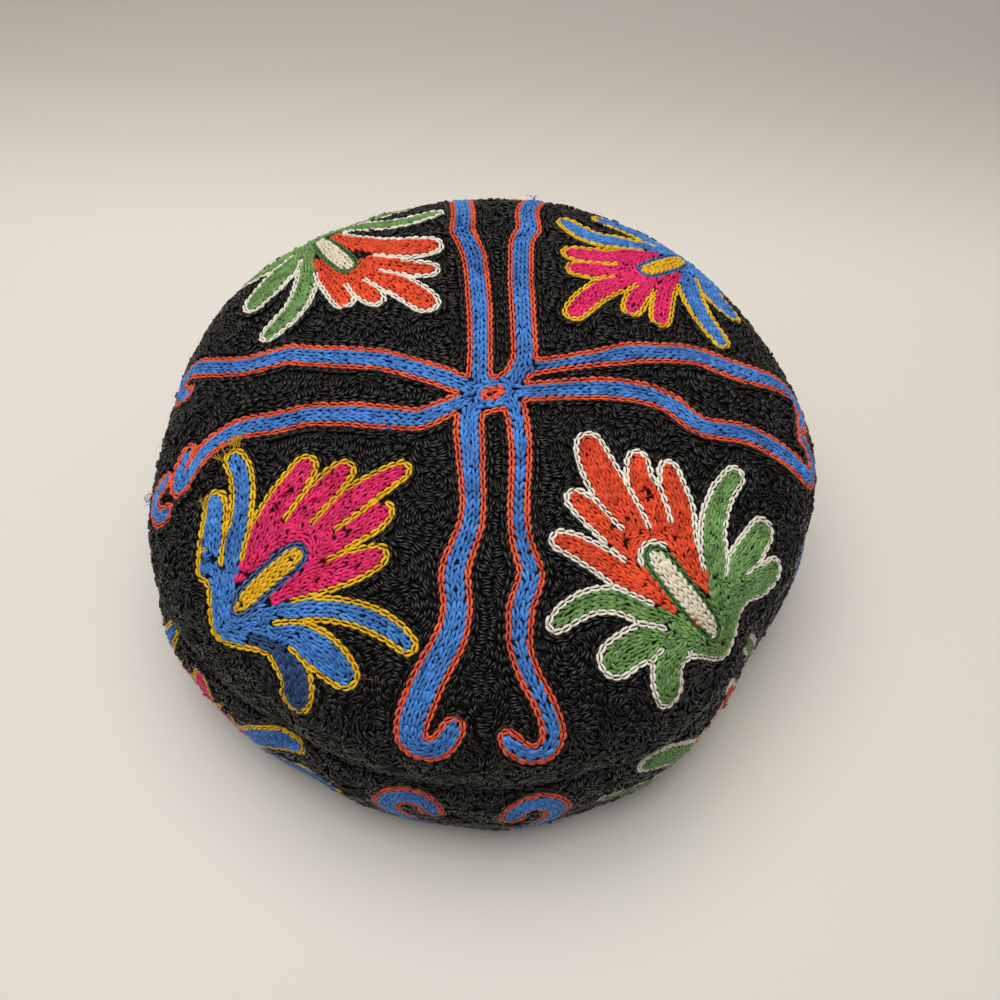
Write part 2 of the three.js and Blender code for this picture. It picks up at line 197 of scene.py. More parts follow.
# Each flower stroke is a list of (aside, along its gore from the middle, half width). Aside is to the
# left as seen from the middle of the crown. The leaves spring from the foot. Dark is the leaf worked in
# navy, and arc is how far round the stamen's tip the edging runs. Threads are for the petals, the
# leaves and the edging.
flowers = {
    "front_left": {
        "gore": -135.0, "foot": (-0.4, 90.8),
        "petals": [
            [(-14.5, 47.5, 2.2), (-13, 52, 2.6), (-10.5, 58.5, 3.4), (-7, 66, 3.6), (-4.5, 71, 2.6),
             (-3.6, 77, 0.8)],
            [(-7, 41.5, 2.0), (-6.5, 46, 2.5), (-5, 53, 3.2), (-4, 60, 4.0)],
            [(2.5, 31, 1.5), (2, 35, 2.1), (1, 41.5, 2.6), (1, 48, 3.0), (1.5, 55, 3.6)],
            [(8, 42, 2.2), (8, 46, 2.6), (6.5, 51, 2.8), (5, 56.5, 3.5), (3, 60, 4)],
            [(16, 50, 2.0), (14.5, 54.5, 2.8), (12.5, 59, 3.1), (10, 64, 2.8), (8, 69, 2.4),
             (6.5, 75, 0.8)],
        ],
        "stamen": [(1, 82, 1.2), (1, 79, 2.0), (1.5, 72, 2.3), (2, 66, 2.4), (2, 63.5, 2.0)],
        "leaves": [
            [(-30, 59, 1.8), (-25, 60, 2.0), (-20, 63, 1.9), (-15, 67.5, 1.9), (-11, 73, 2.4),
             (-8, 77.5, 2.4), (-4.5, 81.5, 2.1), (-2, 85.5, 1.9), (0.5, 88.5, 1.8)],
            [(-24.5, 69, 2.0), (-21.5, 71, 2.2), (-17.5, 75, 2.6), (-13.5, 78, 2.5), (-7.5, 80.5, 2.0),
             (-3, 84.5, 2.0)],
            [(-16, 76.5, 2.4), (-13, 82, 1.0)],
            [(26.5, 88.5, 3.6), (24.5, 84.8, 3.3), (19, 82.4, 3.1), (13.5, 81.5, 2.6), (6, 85, 2.2)],
            [(31.5, 74.5, 2.8), (25.5, 74.5, 3.7), (19, 76, 3.5), (12.5, 79.5, 2.8), (7.5, 83, 2.4),
             (1, 88.5, 1.8)],
            [(37, 58.5, 1.4), (32.5, 59, 1.8), (26, 61, 2.0), (19.5, 65, 1.8), (14.5, 69.5, 1.8),
             (11, 73.5, 2.0), (7.5, 79.5, 2.0), (3, 84.5, 1.7), (0.5, 88.5, 1.3)],
        ],
        "dark": 3, "arc": 2.2,
        "threads": ("crimson", "blue", "yellow"),
    },
    "front_right": {
        "gore": -45.0, "foot": (6.0, 97.0),
        "petals": [
            [(-15, 42, 1.5), (-13, 45.5, 2.1), (-10.5, 52, 2.5), (-8.5, 59, 2.7), (-6.5, 66, 2.4),
             (-5.5, 70.5, 1.8), (-4.5, 75, 0.7)],
            [(-4.5, 37, 1.9), (-4, 42, 2.5), (-3, 48.5, 2.8), (-2, 54.5, 3.1), (-1, 60, 3.0)],
            [(9, 27.8, 2.4), (7, 31.5, 3.5), (4.5, 39, 3.9), (3, 45.5, 3.8), (2, 52, 3.6)],
            [(15.5, 39, 1.9), (12, 43.5, 2.5), (10.5, 49, 3.0), (8, 55.5, 3.3), (5, 60, 3.0)],
            [(20, 46, 1.6), (17.5, 50, 2.3), (14, 56, 3.1), (9, 62, 3.1), (6.5, 68.5, 2.4),
             (6, 73.5, 1.5), (5.6, 77.5, 0.7)],
        ],
        "stamen": [(2, 86, 1.4), (0.5, 78, 2.5), (0, 70, 2.5), (0.5, 63, 2.4), (0.6, 60.5, 1.8)],
        "leaves": [
            [(-29, 56.5, 1.4), (-25, 56.5, 1.9), (-19, 58, 2.1), (-14.5, 61.5, 2.1), (-11.5, 66.5, 2.2),
             (-8.5, 72.5, 2.4), (-5, 78.5, 2.4), (0, 86, 2.1), (3, 91, 1.8)],
            [(-23.5, 72, 3.6), (-19, 72.5, 3.6), (-13.5, 74.8, 3.3), (-8.5, 79, 2.8), (-3.5, 85, 2.2),
             (4.5, 95.5, 2.0)],
            [(-17.5, 88.5, 3.3), (-16, 84, 3.4), (-12.5, 80.5, 3.4), (-8, 81, 3.0)],
            [(29.5, 87, 3.3), (25.5, 87.2, 3.8), (19.5, 84.2, 3.9), (12, 84.5, 4.0), (8, 90, 3.0)],
            [(31, 75, 3.4), (26, 76.5, 3.9), (20, 78, 4.0), (13, 80.5, 3.9)],
            [(33.5, 58, 2.0), (27.5, 59.5, 2.3), (21, 63, 2.6), (16, 67.5, 2.9), (12.5, 72.5, 3.3),
             (9.5, 78, 3.8), (7, 85.5, 3.6), (6.5, 94, 2.4)],
        ],
        "dark": None, "arc": 4.2,
        "threads": ("orange", "green", "white"),
    },
    "back_left": {
        "gore": 135.0, "foot": (-3.9, 89.3),
        "petals": [
            [(-22.5, 50.5, 2.8), (-18, 54, 3.4), (-13.5, 60, 3.4), (-10.5, 68, 3.0), (-9.6, 76, 1.8),
             (-10, 82, 0.8)],
            [(-16.5, 43, 1.7), (-13, 46.5, 2.1), (-9.5, 51, 2.4), (-6, 56, 3.4)],
            [(-7.5, 34, 2.8), (-7.2, 38.5, 3.2), (-6, 44.5, 3.0), (-4, 50.5, 3.0), (-2, 55, 3.0)],
            [(2, 44.5, 2.0), (2, 48.5, 2.6), (1.5, 54, 2.5)],
            [(8.5, 49.5, 2.1), (7, 55, 2.4), (5, 63, 2.1), (2.5, 74, 1.0)],
        ],
        "stamen": [(-5, 82.5, 1.6), (-2.8, 72.5, 2.4), (-1.6, 64.5, 2.4), (-1, 60.5, 1.8)],
        "leaves": [
            [(-35, 63.5, 1.8), (-28, 66.5, 2.2), (-22, 72.5, 2.4), (-18, 80.5, 2.4), (-13, 86.5, 2.2),
             (-7, 89, 1.8)],
            [(-36, 80.5, 2.4), (-29, 84.0, 2.9), (-21.5, 87.0, 2.6), (-12, 90, 2.0)],
            [(18.5, 90, 3.0), (13.5, 85.0, 3.2), (7, 84.5, 2.6), (0, 88, 2.0)],
            [(25, 71.2, 2.6), (20, 72.8, 3.4), (15, 74.6, 3.4), (8.5, 77.5, 3.0), (2, 82, 2.3)],
            [(30, 57, 1.4), (24, 57.5, 2.1), (18, 58.8, 2.4), (12.5, 63, 2.4), (6.5, 70.5, 2.0),
             (1.5, 79.5, 2.3), (-4, 88, 1.5)],
        ],
        "dark": None, "arc": 2.6,
        "threads": ("orange", "green", "white"),
    },
    "back_right": {
        "gore": 45.0, "foot": (2.0, 89.9),
        "petals": [
            [(-11, 54, 2.0), (-7, 59.5, 2.2), (-3.5, 65, 2.0), (-1, 71.5, 1.5), (0, 78, 0.8)],
            [(-3.5, 50, 2.0), (-1, 55.5, 2.3), (1, 61, 2.3)],
            [(5, 35.8, 2.2), (6, 41, 2.6), (6.5, 48, 2.7), (6, 55, 2.9), (4, 60.5, 2.8)],
            [(16.5, 48, 2.1), (13, 52, 2.7), (10, 56.5, 3.3), (7.5, 61.5, 3.4)],
            [(22.5, 52, 2.0), (18.5, 55.5, 2.7), (14, 60.5, 3.1), (12, 67, 3.1), (10.5, 73.5, 2.0),
             (9.4, 78.5, 0.8)],
        ],
        "stamen": [(5, 65.5, 1.9), (4.6, 70.5, 2.3), (4.5, 78, 2.3), (5.6, 85, 1.6)],
        "leaves": [
            [(-26, 64, 1.8), (-19.5, 66, 2.3), (-12.5, 69, 2.7), (-6.5, 73.5, 2.8), (-1, 80.5, 2.3),
             (2, 87, 1.8)],
            [(-19, 80, 2.8), (-14, 80, 3.4), (-8, 81.4, 3.2), (-2.5, 84.5, 2.6)],
            [(-10, 90.5, 2.6), (-4.5, 88.2, 2.6), (1, 88.5, 2.0)],
            [(31, 75, 2.3), (26.5, 78.5, 3.1), (19.5, 81.2, 3.2), (13, 83, 2.8), (6, 87.5, 2.2)],
            [(34.5, 62, 1.8), (29, 62, 2.3), (23, 64, 2.3), (19, 69, 2.3), (14.5, 73.5, 2.3),
             (11, 79.5, 2.3), (6.6, 86, 2.0)],
        ],
        "dark": None, "arc": 0.0,
        "threads": ("crimson", "blue", "yellow"),
    },
}

# The band's flower and hook: (along the band, up from the hem, half width). Each flower of the band
# has its azimuth in degrees, its way round and its threads, and hooks stand in pairs at the arms.
band_flower = {
    "foot": (0.0, 5.0),
    "petals": [
        [(-15.0, 22.5, 1.6), (-11.5, 20.5, 2.3), (-6, 16.5, 2.2), (-3, 13, 1.2)],
        [(-9, 28, 1.7), (-7, 25, 2.4), (-3.5, 20.5, 2.6)],
        [(-1, 36.2, 1.7), (-0.8, 31, 2.7), (0, 25.5, 2.9), (0, 21, 2.8)],
        [(8, 28, 1.7), (6.5, 25, 2.4), (3.5, 20.5, 2.6)],
        [(15, 23, 1.6), (11.5, 20.5, 2.3), (6, 16.5, 2.2), (3, 13, 1.2)],
    ],
    "stamen": [(0, 10.5, 1.2), (0, 13.5, 1.8), (0, 17.5, 1.6)],
    "leaves": [
        [(-14.5, 41.2, 1.2), (-15.5, 37, 1.7), (-18, 30, 1.9), (-18.5, 23, 1.9), (-14.5, 15, 1.9),
         (-7, 9.5, 1.9), (0, 6, 1.8)],
        [(-30, 19, 2.2), (-25, 17, 2.9), (-17.5, 11, 2.8), (-8.5, 7, 2.2), (0, 5, 1.8)],
        [(42, 22, 2.2), (35, 22.5, 3.2), (26, 17.5, 3.2), (15, 10, 2.7), (5, 6, 2.0)],
        [(31.5, 38.4, 2.4), (27, 37, 3.3), (21, 31.5, 3.4), (16.5, 24, 2.9), (12, 15.5, 2.4),
         (6, 10, 2.1), (1, 7, 1.8)],
    ],
    "dark": None, "arc": 0.0,
}
band_hook = [(12, 3.2, 2.0), (13.5, 9, 2.1), (17.5, 16, 2.2), (21.5, 23, 2.3), (22.6, 29.5, 2.3),
             (20.4, 35.2, 2.3), (16, 37.4, 2.2), (11.8, 35.4, 2.1), (10.2, 31.4, 1.9), (11.2, 28.4, 1.5)]
band_flowers = [
    (222.0, 1, ("crimson", "blue", "yellow")),
    (319.0, -1, ("orange", "green", "white")),
    (42.0, 1, ("crimson", "blue", "yellow")),
    (138.0, -1, ("orange", "green", "white")),
]
band_arms = (271.0, 0.5, 90.0, 181.0)


# The cloth as laid out in the source, and the charts that lie on it

turn = np.linspace(0, math.pi / 2, 401)
profile_radius = seam_radius * np.sin(turn) ** (2 / crown_power)
profile_height = crown_rise * np.cos(turn) ** (2 / crown_power)
profile_steps = np.hypot(np.diff(profile_radius), np.diff(profile_height))
profile_run = np.concatenate(([0.0], np.cumsum(profile_steps)))
crown_run = profile_run[-1]


def unit(vectors):
    """The same ways, each one long."""
    return vectors / np.maximum(np.linalg.norm(vectors, axis=-1, keepdims=True), 1e-12)


def plan_share(azimuth):
    """How far the cap's plan stands out at this azimuth, as a share of a true circle."""
    place = np.degrees(azimuth) % 360 / 30
    row = np.floor(place).astype(int)
    u = place - row
    before, here, after, beyond = (plan_shares[(row + k) % 12] for k in (-1, 0, 1, 2))
    slope_here = (after - before) / 2
    slope_after = (beyond - here) / 2
    return (
        (2 * u**3 - 3 * u**2 + 1) * here
        + (u**3 - 2 * u**2 + u) * slope_here
        + (3 * u**2 - 2 * u**3) * after
        + (u**3 - u**2) * slope_after
    )


def plain_cloth(azimuth, down):
    """A place on the cap without its folds, and the way that faces out. Down is run from the apex."""
    on_crown = down <= crown_run
    run = np.minimum(down, crown_run)
    radius = np.interp(run, profile_run, profile_radius)
    height = np.interp(run, profile_run, profile_height)
    out_side = (radius / seam_radius) ** (crown_power - 1) / seam_radius
    out_up = (height / crown_rise) ** (crown_power - 1) / crown_rise
    length = np.hypot(out_side, out_up)
    share = np.clip((down - crown_run) / band_depth, 0, 1)
    radius = np.where(on_crown, radius, seam_radius + band_bulge * np.sin(math.pi * share**0.8))
    height = np.where(on_crown, band_depth + seam_gap + height, band_depth - (down - crown_run))
    out_side = np.where(on_crown, out_side / length, 1.0)
    out_up = np.where(on_crown, out_up / length, 0.0)
    weight = np.minimum(1, radius / seam_radius) ** 2
    reach = radius * (1 + (plan_share(azimuth) - 1) * weight)
    east, north = np.cos(azimuth), np.sin(azimuth)
    place = np.stack([reach * east + apex_side[0], reach * north + apex_side[1], height], -1)
    outward = np.stack([out_side * east, out_side * north, out_up], -1)
    return place, outward


# Two triangles join into one face within these turns. An edge sharper than the third is a rim of the
# cloth and stays fairly crisp.
join_face_turn = math.radians(35)
join_shape_turn = math.radians(50)
rim_turn = math.radians(48)
rim_crease = 0.55
hollow_middle = Vector((0, 0, 18 * mm))
facing_out = 0.25


def cloth_shell(name, node, chart_of):
    """The cloth piece: the solid's own faces, rounded, with its outer skin drawn in under the work."""
    mesh = bmesh.new()
    mesh.from_mesh(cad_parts[node].data)
    bmesh.ops.remove_doubles(mesh, verts=mesh.verts, dist=0.01 * mm)
    bmesh.ops.join_triangles(
        mesh,
        faces=mesh.faces,
        angle_face_threshold=join_face_turn,
        angle_shape_threshold=join_shape_turn,
    )
    mesh.normal_update()
    crease = mesh.edges.layers.float.new("crease_edge")
    for edge in mesh.edges:
        if edge.is_manifold and edge.calc_face_angle(0) > rim_turn:
            edge[crease] = rim_crease
    for vert in mesh.verts:
        away = vert.co - hollow_middle
        if vert.normal.dot(away) > facing_out * away.length:
            vert.co -= vert.normal * cloth_inset * mm
    made = bpy.data.meshes.new(name)
    mesh.to_mesh(made)
    mesh.free()
    made.shade_smooth()
    weave = made.uv_layers.new(name="weave")
    corners = np.zeros(len(made.loops), int)
    made.loops.foreach_get("vertex_index", corners)
    place = np.array([vert.co for vert in made.vertices]) / mm
    weave.data.foreach_set("uv", chart_of(place)[corners].ravel())
    piece = bpy.data.objects.new(name, made)
    bpy.context.scene.collection.objects.link(piece)
    rounding = piece.modifiers.new("rounding", "SUBSURF")
    rounding.levels = rounding.render_levels = 1
    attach(piece, "root")
    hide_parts(node)
    return piece


def from_above(place):
    """The weave's map on the crown."""
    return place[:, :2]


def from_the_side(place):
    """The weave's map on the band."""
    azimuth = np.arctan2(place[:, 1], place[:, 0])
    return np.stack([azimuth * band_chart_radius, place[:, 2]], -1)


crown_cloth = cloth_shell("crown_cloth", "crown", from_above)
band_cloth = cloth_shell("band_cloth", "side_band", from_the_side)
bpy.context.view_layer.update()
shown_now = bpy.context.evaluated_depsgraph_get()
skins = [BVHTree.FromObject(piece, shown_now) for piece in (crown_cloth, band_cloth)]


class Chart:
    """A flat map of part of the cloth in millimetres: where each point lies, which way is out, and how
    far and which way a step along the map goes there."""

    reach = 14.0

    def __init__(self, low, high, step, lay, length=None):
        self.low, self.step, self.length = low, step, length
        across = np.arange(low[0], high[0] + step, step)
        up = np.arange(low[1], high[1] + step, step)
        azimuth, down = lay(*np.meshgrid(across, up))
        place, outward = plain_cloth(azimuth, down)
        found = self.on_skin(place, outward)
        rise, run = np.gradient(found, step, axis=(0, 1))
        facing = unit(np.cross(run, rise))
        facing[1:-1, 1:-1] = unit(
            facing[1:-1, 1:-1] * 2
            + facing[:-2, 1:-1]
            + facing[2:, 1:-1]
            + facing[1:-1, :-2]
            + facing[1:-1, 2:]
        )
        self.grid = np.concatenate([found, facing, run, rise], -1)

    def on_skin(self, place, outward):
        """Each place moved along its outward way onto the cloth pieces."""
        found = place.copy()
        flat, away = found.reshape(-1, 3), outward.reshape(-1, 3)
        for k in range(len(flat)):
            start = Vector(((flat[k] + away[k] * self.reach) * mm).tolist())
            inward = Vector((-away[k]).tolist())
            hits = [skin.ray_cast(start, inward, 2 * self.reach * mm) for skin in skins]
            hits = [hit for hit in hits if hit[0] is not None]
            if hits:
                flat[k] = np.array(min(hits, key=lambda hit: hit[3])[0]) / mm
        return found

    def at(self, spots):
        """Place, facing and the two map steps at each spot."""
        x = spots[:, 0]
        if self.length:
            x = x % self.length
        column = (x - self.low[0]) / self.step
        row = (spots[:, 1] - self.low[1]) / self.step
        i = np.clip(np.floor(column).astype(int), 0, self.grid.shape[1] - 2)
        j = np.clip(np.floor(row).astype(int), 0, self.grid.shape[0] - 2)
        u = np.clip(column - i, 0, 1)[:, None]
        v = np.clip(row - j, 0, 1)[:, None]
        grid = self.grid
        found = (1 - v) * ((1 - u) * grid[j, i] + u * grid[j, i + 1])
        found += v * ((1 - u) * grid[j + 1, i] + u * grid[j + 1, i + 1])
        return found[:, :3], unit(found[:, 3:6]), found[:, 6:9], found[:, 9:]


def lay_crown(x, y):
    """Azimuth and run from the apex for a spot on the crown's chart."""
    return np.arctan2(y, x), np.hypot(x, y)


def lay_band(x, y):
    """Azimuth and run from the apex for a spot on the band's chart."""
    return x / band_chart_radius + band_chart_turn, crown_run + band_depth - y


chart_step = 1.0
chart_reach = crown_run + 4
crown_low = (-chart_reach, -chart_reach)
crown_high = (chart_reach, chart_reach)
band_low = (-2, -1.5)
band_high = (band_chart_length + 2, band_depth + 3)
crown_chart = Chart(crown_low, crown_high, chart_step, lay_crown)
band_chart = Chart(band_low, band_high, chart_step, lay_band, band_chart_length)


# Drawing on a chart: the thinnest half width of a stroke, and the steps of the drawing grids

thinnest = 0.3
broad_step = 0.5
fine_step = 0.4


def smooth_path(knots, parts=4):
    """A soft curve through the knots, in short steps."""
    knots = np.array(knots, float)
    ends = np.vstack([2 * knots[0] - knots[1], knots, 2 * knots[-1] - knots[-2]])
    t = (np.arange(parts) / parts)[:, None]
    pieces = [
        0.5 * (2 * b + t * (c - a) + t**2 * (2 * a - 5 * b + 4 * c - d) + t**3 * (3 * b - a - 3 * c + d))
        for a, b, c, d in zip(ends, ends[1:], ends[2:], ends[3:])
    ]
    path = np.vstack(pieces + [knots[-1:]])
    path[:, 2] = np.maximum(path[:, 2], thinnest)
    return path


class Sheet:
    """A fine flat grid over a chart, on which the pattern's shapes are drawn."""

    far = 9.0

    def __init__(self, low, high, step):
        self.low, self.step = low, step
        self.x, self.y = np.meshgrid(np.arange(low[0], high[0], step), np.arange(low[1], high[1], step))

    def empty(self):
        return np.full(self.x.shape, self.far)

    def draw(self, path, depth=None):
        """How far each place lies outside the stroke, and below zero within it."""
        depth = self.empty() if depth is None else depth
        for (x0, y0, w0), (x1, y1, w1) in zip(path, path[1:]):
            reach = self.far + max(w0, w1)
            i0 = max(0, int((min(x0, x1) - reach - self.low[0]) / self.step))
            i1 = max(0, int((max(x0, x1) + reach - self.low[0]) / self.step) + 2)
            j0 = max(0, int((min(y0, y1) - reach - self.low[1]) / self.step))
            j1 = max(0, int((max(y0, y1) + reach - self.low[1]) / self.step) + 2)
            x, y = self.x[j0:j1, i0:i1] - x0, self.y[j0:j1, i0:i1] - y0
            run_x, run_y = x1 - x0, y1 - y0
            share = np.clip((x * run_x + y * run_y) / max(run_x**2 + run_y**2, 1e-9), 0, 1)
            gap = np.hypot(x - share * run_x, y - share * run_y) - (w0 + share * (w1 - w0))
            depth[j0:j1, i0:i1] = np.minimum(depth[j0:j1, i0:i1], gap)
        return depth

    def value(self, depth, spots):
        """What depth says nearest to each spot."""
        i = np.clip(((spots[:, 0] - self.low[0]) / self.step).round().astype(int), 0, self.x.shape[1] - 1)
        j = np.clip(((spots[:, 1] - self.low[1]) / self.step).round().astype(int), 0, self.x.shape[0] - 1)
        return depth[j, i]

    def contour(self, depth, level):
        """The lines on which depth has this level, each an array of places with the inside to its left."""
        value = depth - level
        rows, columns = value.shape
        inside = (value < 0).astype(int)
        case = inside[:-1, :-1] + 2 * inside[:-1, 1:] + 4 * inside[1:, 1:] + 8 * inside[1:, :-1]
        upright = rows * columns
        following = {}
        for number, ways in cell_ways.items():
            j, i = np.nonzero(case == number)
            sides = (
                j * columns + i,
                upright + j * columns + i + 1,
                (j + 1) * columns + i,
                upright + j * columns + i,
            )
            for come, leave in ways:
                following.update(zip(sides[come].tolist(), sides[leave].tolist()))
        lines = []
        starts = [side for side in following if side not in set(following.values())]
        for first in starts + list(following):
            if first not in following:
                continue
            walk = [first]
            while walk[-1] in following:
                walk.append(following.pop(walk[-1]))
            lines.append(self.crossings(value, np.array(walk)))
        return lines

    def crossings(self, value, sides):
        """Where the line crosses each of these sides of the grid's cells."""
        rows, columns = value.shape
        upright = sides >= rows * columns
        cell = np.where(upright, sides - rows * columns, sides)
        j, i = cell // columns, cell % columns
        here = value[j, i]
        there = value[np.minimum(j + upright, rows - 1), np.minimum(i + ~upright, columns - 1)]
        share = here / np.where(here == there, 1, here - there)
        x = self.low[0] + self.step * (i + np.where(upright, 0, share))
        y = self.low[1] + self.step * (j + np.where(upright, share, 0))
        return np.stack([x, y], -1)


# For each way that a grid cell's corners can lie inside, the sides where a line comes in and leaves.
cell_ways = {
    1: [(0, 3)], 2: [(1, 0)], 3: [(1, 3)], 4: [(2, 1)], 5: [(0, 3), (2, 1)], 6: [(2, 0)], 7: [(2, 3)],
    8: [(3, 2)], 9: [(0, 2)], 10: [(1, 0), (3, 2)], 11: [(1, 2)], 12: [(3, 1)], 13: [(0, 1)], 14: [(3, 0)],
}


def runs_of(line, kept):
    """The stretches of a line on which kept is true."""
    marks = np.flatnonzero(np.diff(np.concatenate(([0], kept.astype(int), [0]))))
    return [line[a:b] for a, b in zip(marks[::2], marks[1::2]) if b - a > 1]


# Working the stitches

def to_segment(point, a, b):
    """Distance from a point to the segment from a to b."""
    run = (b[0] - a[0], b[1] - a[1], b[2] - a[2])
    gap = (point[0] - a[0], point[1] - a[1], point[2] - a[2])
    square = run[0] ** 2 + run[1] ** 2 + run[2] ** 2
    share = (gap[0] * run[0] + gap[1] * run[1] + gap[2] * run[2]) / square if square else 0.0
    share = min(1.0, max(0.0, share))
    return math.dist(gap, (run[0] * share, run[1] * share, run[2] * share))


class Needlework:
    """All links worked so far: where each lies on its chart, its thread and its kind."""

    cell = 3.0

    def __init__(self):
        self.done = []
        self.near = {}
        self.rows = 0

    def work(self, chart, line, thread, kind, foot=None, crowd=crowding):
        """Works one row. A link that would lie on earlier work is left out. With a foot given, each
        link opens away from it."""
        pitch, half = links[kind]["pitch"], links[kind]["half"]
        if len(line) < 2:
            return
        run = np.concatenate(([0.0], np.cumsum(np.linalg.norm(np.diff(chart.at(line)[0], axis=0), axis=1))))
        count = int(round(run[-1] / pitch))
        if count < 1:
            return
        marks = np.linspace(0, run[-1], count + 1)
        knots = np.stack([np.interp(marks, run, line[:, 0]), np.interp(marks, run, line[:, 1])], -1)
        starts, ends = knots[:-1].copy(), knots[1:].copy()
        if foot is not None:
            turned = ((ends - starts) * ((starts + ends) / 2 - np.array(foot))).sum(-1) < 0
            starts[turned], ends[turned] = knots[1:][turned], knots[:-1][turned]
        first, last = chart.at(starts)[0].tolist(), chart.at(ends)[0].tolist()
        middle = chart.at((starts + ends) / 2)[0].tolist()
        self.rows += 1
        for k in range(count):
            if self.free(middle[k], first[k], last[k], half * crowd, k, count):
                way = (ends[k] - starts[k]) / max(math.dist(ends[k], starts[k]), 1e-6)
                entry = (self.rows, k, middle[k], first[k], last[k], half * crowd, kind, way)
                self.near.setdefault(tuple(int(c // self.cell) for c in middle[k]), []).append(entry)
                self.done.append((chart, starts[k], ends[k], thread, kind))

    def free(self, middle, first, last, room, k, count):
        """Whether a link keeps clear of all earlier work but its neighbours in the same row."""
        column = tuple(int(c // self.cell) for c in middle)
        for step in neighbours:
            cell = (column[0] + step[0], column[1] + step[1], column[2] + step[2])
            for row, other, their_middle, a, b, their_room, _, _ in self.near.get(cell, ()):
                if row == self.rows and (abs(k - other) <= 1 or abs(k - other) == count - 1):
                    continue
                gap = min(to_segment(middle, a, b), to_segment(their_middle, first, last))
                if gap < room + their_room:
                    return False
        return True

    def bare(self, place, kind):
        """Whether the cloth shows here, and the way that the nearest link of this kind runs."""
        column = tuple(int(c // self.cell) for c in place)
        nearest, way = self.cell, None
        for step in neighbours:
            cell = (column[0] + step[0], column[1] + step[1], column[2] + step[2])
            for entry in self.near.get(cell, ()):
                if to_segment(place, entry[3], entry[4]) < gap_size[kind]:
                    return False, None
                gap = math.dist(place, entry[2])
                if entry[6] == kind and gap < nearest:
                    nearest, way = gap, entry[7]
        return True, way


neighbours = [(i, j, k) for i in (-1, 0, 1) for j in (-1, 0, 1) for k in (-1, 0, 1)]
needlework = Needlework()


def fill_gaps(sheet, chart, depth, level, thread, kind, foot, place):
    """Single links wherever a shape still shows bare cloth, each along the nearest link of its kind or
    else away from the foot. Place turns the sheet's places into places on the chart."""
    j, i = np.nonzero(depth[::2, ::2] < level)
    order = np.argsort(depth[::2, ::2][j, i])
    spots = place(np.stack([sheet.x[0, i[order] * 2], sheet.y[j[order] * 2, 0]], -1))
    middles = chart.at(spots)[0].tolist()
    for length, crowd in gap_links[kind]:
        for spot, middle in zip(spots, middles):
            bare, way = needlework.bare(middle, kind)
            if bare and (way is not None or foot is not None):
                way = unit(spot - foot) if way is None else way
                reach = way * length / 2
                needlework.work(chart, np.array([spot - reach, spot + reach]), thread, kind, None, crowd)


def turned(path, angle):
    """A line of (along, aside) from the middle of the crown, turned onto the crown's chart."""
    east, north = math.cos(angle), math.sin(angle)
    along, left = path[:, 0], path[:, 1]
    made = path.copy()
    made[:, 0], made[:, 1] = along * east - left * north, along * north + left * east
    return made


# The vines: drawn as one blue shape, edged in red, then filled with rows that run to the middle

crown_sheet = Sheet(crown_low, crown_high, broad_step)
oval_depth = crown_sheet.draw(smooth_path(oval))
vine_paths = [(rows, turned(smooth_path(knots), math.radians(arms[arm]))) for arm, rows, knots in vines]
vine_depth = oval_depth - oval_ring
for rows, path in vine_paths:
    crown_sheet.draw(path, vine_depth)

for line in crown_sheet.contour(vine_depth, edge_off):
    needlework.work(crown_chart, line, "red", "edge")
for level in oval_rows:
    for line in crown_sheet.contour(oval_depth, level):
        needlework.work(crown_chart, line, "red", "fill")
for line in crown_sheet.contour(oval_depth, oval_blue):
    needlework.work(crown_chart, line, "blue", "vine")


def vine_rows(chart, path, rows, clear):
    """Blue rows side by side along a vine, worked from its hook to the middle."""
    run = np.gradient(path[:, :2], axis=0)
    side = unit(np.stack([-run[:, 1], run[:, 0]], -1))
    for row in range(rows):
        share = (row + 0.5) / rows * 2 - 1
        line = path[:, :2] + side * (path[:, 2] * share)[:, None]
        line = line[::-1]
        for stretch in runs_of(line, clear(line)):
            needlework.work(chart, stretch, "blue", "vine")


def clear_of_oval(line):
    return crown_sheet.value(oval_depth, line) > oval_ring


for rows, path in vine_paths:
    vine_rows(crown_chart, path, rows, clear_of_oval)
vine_room = np.maximum(vine_depth, vine_off_oval - oval_depth)
fill_gaps(crown_sheet, crown_chart, vine_room, vine_bare, "blue", "vine", None, np.array)


# The flowers: edging round the whole and down the slits, then the stamen, petals and leaves

def fill_shape(sheet, chart, depth, paths, thread, foot, place):
    """Fills a shape: one row along each narrow stroke, rows inside its edge, then what is left."""
    foot = place(np.array([foot]))[0]

    def rows_at(level):
        for line in sheet.contour(depth, level):
            needlework.work(chart, place(line), thread, "fill", foot)

    def rows_along(narrowest):
        for path in paths:
            within = sheet.value(depth, path[:, :2])
            for stretch in runs_of(path[:, :2], (within > narrowest) & (within < stroke_inset)):
                needlework.work(chart, place(stretch), thread, "fill", foot)

    rows_along(stroke_narrow)
    for row in range(fill_rows):
        rows_at(-fill_first - row * fill_step)
    rows_along(stroke_any)
    for level in fill_late:
        rows_at(level)
    fill_gaps(sheet, chart, depth, fill_bare, thread, "fill", foot, place)


# The joins of a flower's strokes are rounded fully within the first distance of its foot and of its
# stamen, and less over the second.
round_by_foot = (8, 14)
round_by_stamen = (4.5, 4)
round_least = 0.3
round_more = 1.1


